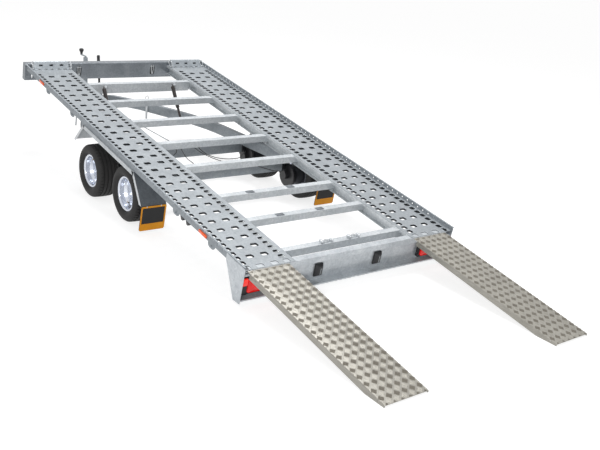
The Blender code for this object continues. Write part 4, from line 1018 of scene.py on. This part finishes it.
stop_section = ((STOP_FOOT - 2 * MM, STOP_LOW), (STOP_FOOT + 4 * MM, STOP_LOW + 1 * MM),
                (STOP_TOP - 14 * MM, STOP_HIGH - 2 * MM), (STOP_TOP - 7 * MM, STOP_HIGH + 1 * MM),
                (STOP_TOP + 6 * MM, STOP_HIGH + 1 * MM), (STOP_TOP + 12 * MM, STOP_HIGH - 6 * MM))
for label, side in SIDES:
    stop = fold(stop_section, STOP_IN, STOP_OUT, 3 * MM, 2.5 * MM, "X")
    slots = [round_edges(slab((x - 19 * MM, 3.92, -6 * MM), (x + 19 * MM, 3.99, 9 * MM)), 4 * MM, 2, 80)
             for x in STOP_SLOTS]
    notches = [slab((x - 14 * MM, 3.90, STOP_LOW - 0.01), (x + 14 * MM, 3.933, STOP_LOW + 5.5 * MM))
               for x in STOP_NOTCHES]
    carve(stop, *slots, *notches)
    ends = []
    for x in (STOP_IN, STOP_OUT):
        end = slab((x - 2 * MM, STOP_FOOT + 6 * MM, STOP_LOW), (x + 2 * MM, STOP_TOP + 10 * MM, STOP_LOW + 12 * MM))
        edit(end)
        pick(end, "FACE", lambda c, f: f.normal.z > 0.9)
        pull((0, 0, 40 * MM))
        bpy.ops.transform.resize(value=(1, 0.45, 1), center_override=(x, STOP_TOP + 6 * MM, STOP_HIGH))
        leave()
        ends.append(end)
    stop = join(stop, *ends)
    roll_n = STOP_HIGH - 2 * MM
    roll = bar((STOP_IN - 3 * MM, STOP_TOP, roll_n), (STOP_OUT + 3 * MM, STOP_TOP, roll_n), 8.5 * MM, 16)
    on_bed(handed(roll, side), "stop_roll_" + label, BRIGHT_ZINC)
    on_bed(handed(stop, side), "stop_plate_" + label, SHEET_ZINC, 35, ["wheel_stop_" + label])
    hooks = []
    for x in (0.958, 0.572):
        hooks.append(wire([(side * (x - inward * MM), s, n) for inward, s, n in HOOK_BENDS], 3 * MM))
        hooks.append(bar((side * x - 14 * MM, 3.930, -0.024), (side * x + 14 * MM, 3.930, -0.024), 5 * MM))
    on_bed(join(*hooks), "stop_hooks_" + label, BRIGHT_ZINC, 40)
print("wheel stops")

# %% [markdown]
# ## Front beam
#
# The front beam is a channel of folded sheet, open to the front. Beside each track it has an upright rounded
# opening with a loop of wire in it, and the left end has a small keyhole. The beam is folded from a strip and the
# openings are cut out. Behind each opening stands a black plate: painted shade for the inside of the beam.

# %% Beam with its openings
FRONT_S = (4.004, 4.070)
FRONT_N = (-0.1675, 0.0)
BEAM_WINDOWS = (-0.445, 0.385)
HALF_WALL = 1.5 * MM
LOOP_BENDS = ((-10, 4.012, -0.032), (-12, 4.006, -0.06), (-8, 4.002, -0.105), (0, 4.000, -0.124), (9, 4.003, -0.105),
              (11, 4.007, -0.06), (10, 4.012, -0.032))

rear_s, front_s = FRONT_S[0] + HALF_WALL, FRONT_S[1] - HALF_WALL
low_n, high_n = FRONT_N[0] + HALF_WALL, FRONT_N[1] - HALF_WALL
beam = fold(((front_s, high_n), (rear_s, high_n), (rear_s, low_n), (front_s, low_n)), -1.0, 1.0, 3 * MM, 4 * MM, "X")
windows = [bevel_picked(slab((x - 26 * MM, 3.99, -0.135), (x + 26 * MM, 4.02, -0.030)), across, 18 * MM, 4)
           for x in BEAM_WINDOWS]
keyhole = bar((-0.93, 3.99, -0.115), (-0.93, 4.02, -0.115), 9 * MM, 16)
keyway = slab((-0.934, 3.99, -0.150), (-0.926, 4.02, -0.115))
carve(beam, *windows, keyhole, keyway)
ends = [slab((x - HALF_WALL, FRONT_S[0] + 3 * MM, FRONT_N[0] + 3 * MM),
             (x + HALF_WALL, FRONT_S[1] - 2 * MM, FRONT_N[1] - 3 * MM)) for x in (-0.9985, 0.9985)]
# The beam gets the darker zinc: painted shade.
on_bed(join(beam, *ends), "front_channel", FRONT_PAINTED_SHADE, 35, ["front_beam"])
loops, painted_shade_plates = [], []
for x in BEAM_WINDOWS:
    painted_shade_plates.append(slab((x - 34 * MM, 4.009, -0.145), (x + 34 * MM, 4.050, -0.022)))
    loops.append(wire([(x + off * MM, s, n) for off, s, n in LOOP_BENDS], 4 * MM))
    loops.append(bar((x - 24 * MM, 4.012, -0.045), (x + 24 * MM, 4.012, -0.045), 5 * MM))
# Black plates behind the openings: painted shade where the beam's inside lies in shade.
on_bed(join(*painted_shade_plates), "loop_pockets", BLACK_LACQUER, 0)
on_bed(join(*loops), "lashing_loops", BRIGHT_ZINC, 40)
print("front beam")

# %% [markdown]
# ## Lamps
#
# The rear lamps sit in the rear beam, one behind each track: a black case, a ribbed red lens, a round raised
# lens that is turned from a section, and a square reflector at the outer end. Two black wedges near the middle
# light the number plate. Each has a clear strip. Amber reflectors stand on the side rails.

# %% Rear lamps, plate lamps and reflectors
LENS_BACK, LENS_FACE = 0.0389, 0.0265
LENS_N = -0.1745
FACE_BACK = Matrix.Rotation(math.radians(90), 4, "Z")

for label, side in SIDES:
    body = bevel_picked(slab((side * 0.7155, LENS_FACE, -0.2278), (side * 0.9235, LENS_BACK, -0.1218)), across,
                        16 * MM, 4)
    reshape(body, "FACE", facing_back, bpy.ops.mesh.inset, thickness=3 * MM, depth=1.6 * MM)
    dome = spun([(0.0, 0.0), (0.020, 0.5 * MM), (0.036, 2.0 * MM), (0.044, 4.5 * MM), (0.0475, 8.0 * MM),
                 (0.0475, 11 * MM), (0.0, 11 * MM)], 48)
    dome.data.transform(Matrix.Translation((side * 0.862, LENS_FACE - 1.5 * MM, LENS_N)) @ FACE_BACK)
    second = spun([(0.0, 0.0), (0.016, 0.5 * MM), (0.026, 2.0 * MM), (0.031, 4.5 * MM), (0.033, 8.0 * MM),
                   (0.0, 8 * MM)], 36)
    second.data.transform(Matrix.Translation((side * 0.765, LENS_FACE - 0.8 * MM, LENS_N)) @ FACE_BACK)
    on_bed(join(body, dome, second), "tail_lens_" + label, LENS_RED, 30, ["lamp_lens_" + label])
    square = rounded((side * 0.930, LENS_FACE - 2 * MM, -0.166), (side * 0.983, LENS_BACK + 0.5 * MM, -0.112), 3 * MM)
    on_bed(square, "square_reflector_" + label, REFLECTOR_RED, 30)
    block = rounded((side * 0.928, LENS_FACE + 2 * MM, -0.2385), (side * 0.983, LENS_BACK + 0.5 * MM, -0.168), 3 * MM)
    on_bed(block, "lamp_block_" + label, GUARD_PLASTIC, 30)
    for tag, s in (("rear", 0.55), ("front", 3.59)):
        amber = rounded((side * 0.9885, s - 0.052, -0.052), (side * 0.9965, s + 0.052, -0.028), 2.5 * MM)
        on_bed(amber, f"side_reflector_{tag}_{label}", LENS_AMBER, 30)
for label, x in (("left", -0.295), ("right", 0.273)):
    wedge = slab((x - 33 * MM, 0.0395, -0.232), (x + 33 * MM, 0.0692, -0.130))
    edit(wedge)
    pick(wedge, "FACE", facing_back)
    bpy.ops.mesh.inset(thickness=16 * MM, depth=0)
    bpy.ops.transform.translate(value=(4 * MM, 0, 0))
    pick(wedge, "VERT", lambda c, v: abs(abs(c.x - x) - 33 * MM) < MM and c.y < 0.05)
    bpy.ops.transform.translate(value=(0, 18 * MM, 0))
    leave()
    on_bed(wedge, f"plate_lamp_{label}_body", GUARD_PLASTIC, 30, ["plate_lamp_" + label])
    strip = slab((x + 3 * MM, 0.0375, -0.213), (x + 10 * MM, 0.0415, -0.160))
    reshape(strip, "VERT", lambda c, v: c.x > x + 7 * MM, bpy.ops.transform.translate, value=(0, 1 * MM, 0))
    on_bed(strip, "plate_lamp_window_" + label, LENS_CLEAR, 30)
print("lamps and reflectors")

# %% [markdown]
# ## Brakes under the bed
#
# A rod runs from the overrun housing to a small yoke between the axles' arms, and four Bowden cables fan out from
# it to the drums. They are held at both ends. Each is a smooth curve through a few points with a round section of
# 7 mm, and dips a little between its ends.

# %% Brake rod, yoke and cables
CABLE_RADIUS = 3.5 * MM
CABLE_ENDS = {"front": (0.655, 2.47, 0.30), "rear": (0.655, 1.79, 0.30)}
ROUTES = {
    ("front", -1): [(-0.035, 2.72, 0.372), (-0.075, 2.62, 0.376), (-0.19, 2.40, 0.345), (-0.42, 2.40, 0.315)],
    ("rear", -1): [(-0.020, 2.72, 0.372), (-0.035, 2.62, 0.376), (-0.12, 2.30, 0.340), (-0.20, 2.02, 0.345),
                   (-0.42, 1.80, 0.33)],
    ("front", 1): [(0.035, 2.72, 0.372), (0.105, 2.62, 0.376), (0.15, 2.25, 0.335), (0.34, 2.18, 0.325),
                   (0.50, 2.30, 0.32)],
    ("rear", 1): [(0.020, 2.72, 0.372), (0.065, 2.62, 0.376), (0.10, 2.32, 0.340), (0.165, 2.04, 0.34),
                  (0.27, 1.80, 0.375), (0.46, 1.70, 0.33)],
}
cables = []
for (end, side), route in ROUTES.items():
    x, y, z = CABLE_ENDS[end]
    cables.append(wire(route + [(side * x, y, z)], CABLE_RADIUS))
settle(join(*cables), "brake_cables", "chassis", SOFT_RUBBER, CHASSIS, 40)
rod = bar((-0.060, 4.44, 0.415), (-0.045, 2.74, 0.372), 4 * MM)
yoke = rounded((-0.055, 2.708, 0.366), (0.055, 2.722, 0.380), 3 * MM)
ferrules = [bar((x, 2.735, 0.372), (x, 2.69, 0.374), 6 * MM) for x in (-0.035, -0.020, 0.020, 0.035)]
settle(join(rod, yoke, *ferrules), "brake_rod", "chassis", SHEET_ZINC, CHASSIS, 40)
print("four cables, rod and yoke")

# %% [markdown]
# ## Hardware on the crossmembers
#
# Two crossmembers carry flat pads, and the rearmost one carries two latches with bent-wire springs that hold the
# ramps. Bolts show at the ends of the rear beam and on the front beam. All of them are small, so each is a
# bevelled block or a six-sided bar.

# %% Pads, latches and bolts
BAR_TOP = -0.043
LATCH_N = BAR_TOP + 13 * MM
PAD_PLACES = ((-0.268, 1.05), (0.129, 1.05), (-0.255, 0.65), (0.130, 0.65))
SPRING_BENDS = ((-34, 0.184, 8), (-22, 0.188, 26), (-10, 0.196, 8), (0, 0.188, 26), (12, 0.184, 8), (24, 0.190, 24),
                (34, 0.194, 8))

pads = [rounded((x - 35 * MM, s - 19 * MM, BAR_TOP - 1 * MM), (x + 35 * MM, s + 19 * MM, BAR_TOP + 4 * MM), 1.5 * MM)
        for x, s in PAD_PLACES]
on_bed(join(*pads), "rest_pads", DARK_ZINC_AND_SHADE, 30)

latches = []
for x in (-0.16, 0.10):
    for middle in (x - 45 * MM, x + 45 * MM):
        latches.append(rounded((middle - 11 * MM, 0.176, BAR_TOP - 1 * MM),
                               (middle + 11 * MM, 0.204, BAR_TOP + 22 * MM), 3 * MM))
        latches.append(bar((middle, 0.168, LATCH_N), (middle, 0.212, LATCH_N), 7 * MM, 6))
    latches.append(bar((x - 62 * MM, 0.190, LATCH_N), (x + 62 * MM, 0.190, LATCH_N), 5 * MM))
    latches.append(wire([(x + off * MM, s, BAR_TOP + rise * MM) for off, s, rise in SPRING_BENDS], 2.5 * MM))
on_bed(join(*latches), "ramp_latches", BRIGHT_ZINC, 30)

heads = []
for side in (-1, 1):
    for n in (-0.055, -0.085):
        heads.append(bar((side * 0.668, 0.030, n), (side * 0.668, 0.040, n), 8 * MM, 6))
    for x in (0.60, 0.66, 0.90):
        heads.append(bar((side * x, 3.996, -0.135), (side * x, 4.005, -0.135), 8 * MM, 6))
on_bed(join(*heads), "beam_bolts", BRIGHT_ZINC, 30)
print(len(pads), "pads,", len(heads), "bolt heads")

# %% [markdown]
# ## Lashing points under the rails
#
# Below each rail stand brackets of bent plate with a half-round tongue and a black rubber buffer. The plate is a
# block whose lower corners are bevelled round, and the buffer is a block that narrows downwards.

# %% Brackets under the rails
PLATE_FOOT = -0.098
PLATE_S, BUFFER_S = (3.45, 2.88, 0.95, 0.44), (0.78, 0.86)

for label, side in SIDES:
    plates, buffers = [], []
    for s in PLATE_S:
        plate = slab((side * 0.9765, s - 45 * MM, PLATE_FOOT), (side * 0.9825, s + 45 * MM, -0.052))
        plates.append(bevel_picked(plate, lambda c, e: c.z < -0.09 and abs(e.verts[0].co.x - e.verts[1].co.x) > MM,
                                   30 * MM, 6))
        plates.append(bar((side * 0.970, s, -0.078), (side * 0.989, s, -0.078), 8 * MM, 6))
    for s in BUFFER_S:
        buffer = slab((side * 0.945, s - 22 * MM, PLATE_FOOT), (side * 0.985, s + 22 * MM, -0.0595))
        buffers.append(reshape(buffer, "FACE", facing_down, bpy.ops.transform.resize, value=(0.6, 0.45, 1),
                               center_override=(side * 0.965, s + 10 * MM, PLATE_FOOT)))
    on_bed(join(*plates), "lashing_plates_" + label, SHEET_ZINC, 30)
    on_bed(join(*buffers), "rail_buffers_" + label, GUARD_PLASTIC, 30)
print("lashing plates and buffers")

# %% [markdown]
# ## Drawbar end
#
# Over the front beam show the jockey crank with its black knob and the grip of the handbrake. Both grips are
# turned from a section, which gives them their swelling shape.

# %% Knob and grip
KNOB_PLACE = Vector((-0.118, 4.672, 0.880))
LEVER_FOOT, LEVER_TIP = Vector((0.08, 4.62, 0.43)), Vector((0.04, 4.58, 0.86))
GRIP_LENGTH = 0.135
knob = spun([(0.0, 0.0), (0.011, 0.0), (0.013, 0.004), (0.015, 0.020), (0.024, 0.036), (0.026, 0.046), (0.020, 0.057),
             (0.0, 0.060)], 32)
knob.data.transform(CHASSIS @ Matrix.Translation(KNOB_PLACE) @ Matrix.Rotation(math.radians(-90), 4, "Y"))
settle(knob, "crank_knob", "chassis", GUARD_PLASTIC, None, 35)
lean = (LEVER_TIP - LEVER_FOOT).normalized()
grip = spun([(0.0, 0.0), (0.014, 0.0), (0.0165, 0.006), (0.0155, 0.035), (0.0175, 0.07), (0.0165, 0.10), (0.0180, 0.12),
             (0.014, GRIP_LENGTH - 2 * MM), (0.0, GRIP_LENGTH)], 24)
along = lean.to_track_quat("X", "Z").to_matrix().to_4x4()
grip.data.transform(CHASSIS @ Matrix.Translation(LEVER_TIP + lean * (20 * MM - GRIP_LENGTH)) @ along)
settle(grip, "handbrake_grip", "chassis", GUARD_PLASTIC, None, 35)
print("knob and grip")

# %% Lock pin and guard stay
PIN_X, PIN_Y = 0.335, 3.97
pin = bar((PIN_X, PIN_Y, 0.505), (PIN_X, PIN_Y, 0.29), 11 * MM)
ring = wire([(PIN_X + 18 * MM * math.sin(math.radians(a)), PIN_Y, 0.52 - 22 * MM * math.cos(math.radians(a)))
             for a in range(0, 350, 38)], 3.5 * MM)
settle(join(pin, ring), "lock_pin", "chassis", BRIGHT_ZINC, CHASSIS, 35)
for label, side in SIDES:
    stay = bar((side * 0.975, 2.80, -0.055), (side * 0.975, 2.80, -0.150), 6 * MM)
    on_bed(round_edges(stay, 1.5 * MM, 2, 60), "guard_stay_" + label, BAR_ZINC)
print("pin and stays")

# %% [markdown]
# ## Finish of the CAD nodes
#
# Pieces that the CAD already shapes well stay as they are. Each gets the finish of its material slot, and the bed's
# bars, beams and small parts then get their own.

# %% Materials for the nodes that stay
SLOT_FINISH = {"galvanised_steel": SHEET_ZINC, "chequer_aluminium": ALUMINIUM, "rim_silver": RIM_LACQUER,
               "tyre_rubber": TYRE_RUBBER, "black_rubber": SOFT_RUBBER, "black_paint": BLACK_LACQUER,
               "black_plastic": GUARD_PLASTIC, "lamp_red": LENS_RED}
OWN_FINISH = {"crossmember_": BAR_ZINC, "damper_beam": BAR_ZINC, "rear_beam": BEAM_ZINC,
              "damper_tube_": DAMPER_PAINT, "damper_rod_": DAMPER_PAINT}
SLOT_OF = {row["node"]: row["material_slot"] for row in frame["record"]["subparts"]}
for name, obj in NODES.items():
    finish = SLOT_FINISH[SLOT_OF[name]]
    for start, own in OWN_FINISH.items():
        if name.startswith(start):
            finish = own
    paint(obj, finish)
print(len(NODES), "nodes finished")

# %% [markdown]
# ## Studio
#
# The trailer stands on a white floor in a white room. The room is darker near the horizon, so upright faces come
# out darker than the deck, as in the photograph, and the floor returns less light to the trailer than it shows to
# the camera. Light Path decides: the camera and reflections see white, diffuse rays see a mid grey. Two lamps add
# direction: a softbox overhead, and a front light far behind the camera, whose light falls through the slots much
# as the camera looks through them.

# %% Floor, world and lamps
FLOOR_SIZE = 200
HORIZON_LIGHT, ZENITH_LIGHT = 0.38, 0.6
FLOOR_RETURN = 0.42
FLOOR_GLOW, FLOOR_SHARE = 1.25, 0.4

bpy.ops.object.select_all(action="DESELECT")
bpy.ops.mesh.primitive_plane_add(size=FLOOR_SIZE, location=(0, 0, 0))
floor = bpy.context.object
floor.name = "floor"
made, tree, surface = start_material("floor_white", Base_Color=colour("FFFFFF"), Roughness=0.9)
path = add(tree, "ShaderNodeLightPath")
glow = add(tree, "ShaderNodeEmission", {"Strength": FLOOR_GLOW})
shown = add(tree, "ShaderNodeMixShader", {0: FLOOR_SHARE}, i1=glow.outputs["Emission"], i2=surface.outputs["BSDF"])
dim = add(tree, "ShaderNodeBsdfDiffuse", {"Color": (FLOOR_RETURN, FLOOR_RETURN, FLOOR_RETURN, 1)})
choose = add(tree, "ShaderNodeMixShader", None, i0=path.outputs["Is Diffuse Ray"], i1=shown.outputs["Shader"],
             i2=dim.outputs["BSDF"])
tree.links.new(choose.outputs["Shader"], tree.nodes["Material Output"].inputs["Surface"])
floor.data.materials.append(made)
floor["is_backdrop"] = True

world = bpy.data.worlds.new("studio")
bpy.context.scene.world = world
world.use_nodes = True
tree = world.node_tree
background = tree.nodes["Background"]
background.inputs["Color"].default_value = (1, 1, 1, 1)
height = add(tree, "ShaderNodeSeparateXYZ", None, Vector=add(tree, "ShaderNodeTexCoord").outputs["Generated"])
light = add(tree, "ShaderNodeMapRange", {"From Min": 0.0, "From Max": 0.9, "To Min": HORIZON_LIGHT,
                                         "To Max": ZENITH_LIGHT}, Value=height.outputs["Z"])
path = add(tree, "ShaderNodeLightPath")
direct = add(tree, "ShaderNodeMath", {"operation": "MAXIMUM"}, i0=path.outputs["Is Camera Ray"],
             i1=path.outputs["Is Glossy Ray"])
direct = add(tree, "ShaderNodeMath", {"operation": "MAXIMUM"}, i0=direct.outputs["Value"],
             i1=path.outputs["Is Transmission Ray"])
seen = add(tree, "ShaderNodeMix", {"data_type": "FLOAT", "B": 1.0}, Factor=direct.outputs["Value"],
           A=light.outputs["Result"])
tree.links.new(seen.outputs["Result"], background.inputs["Strength"])


def lamp(name, place, aim, size, watts):
    data = bpy.data.lights.new(name, "AREA")
    data.shape, data.size, data.energy = "DISK", size, watts
    obj = bpy.data.objects.new(name, data)
    bpy.context.scene.collection.objects.link(obj)
    obj.location = place
    obj.rotation_euler = (Vector(aim) - Vector(place)).to_track_quat("-Z", "Y").to_euler()


lamp("softbox", (0.6, 0.8, 7.0), (0, 0, 0.3), 3.0, 370)
lamp("front_light", (-8.6, -9.9, 5.1), (0, 0, 0.4), 1.2, 700)
bpy.context.scene.view_settings.view_transform = "Standard"

# %% Measure the size
low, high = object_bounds()
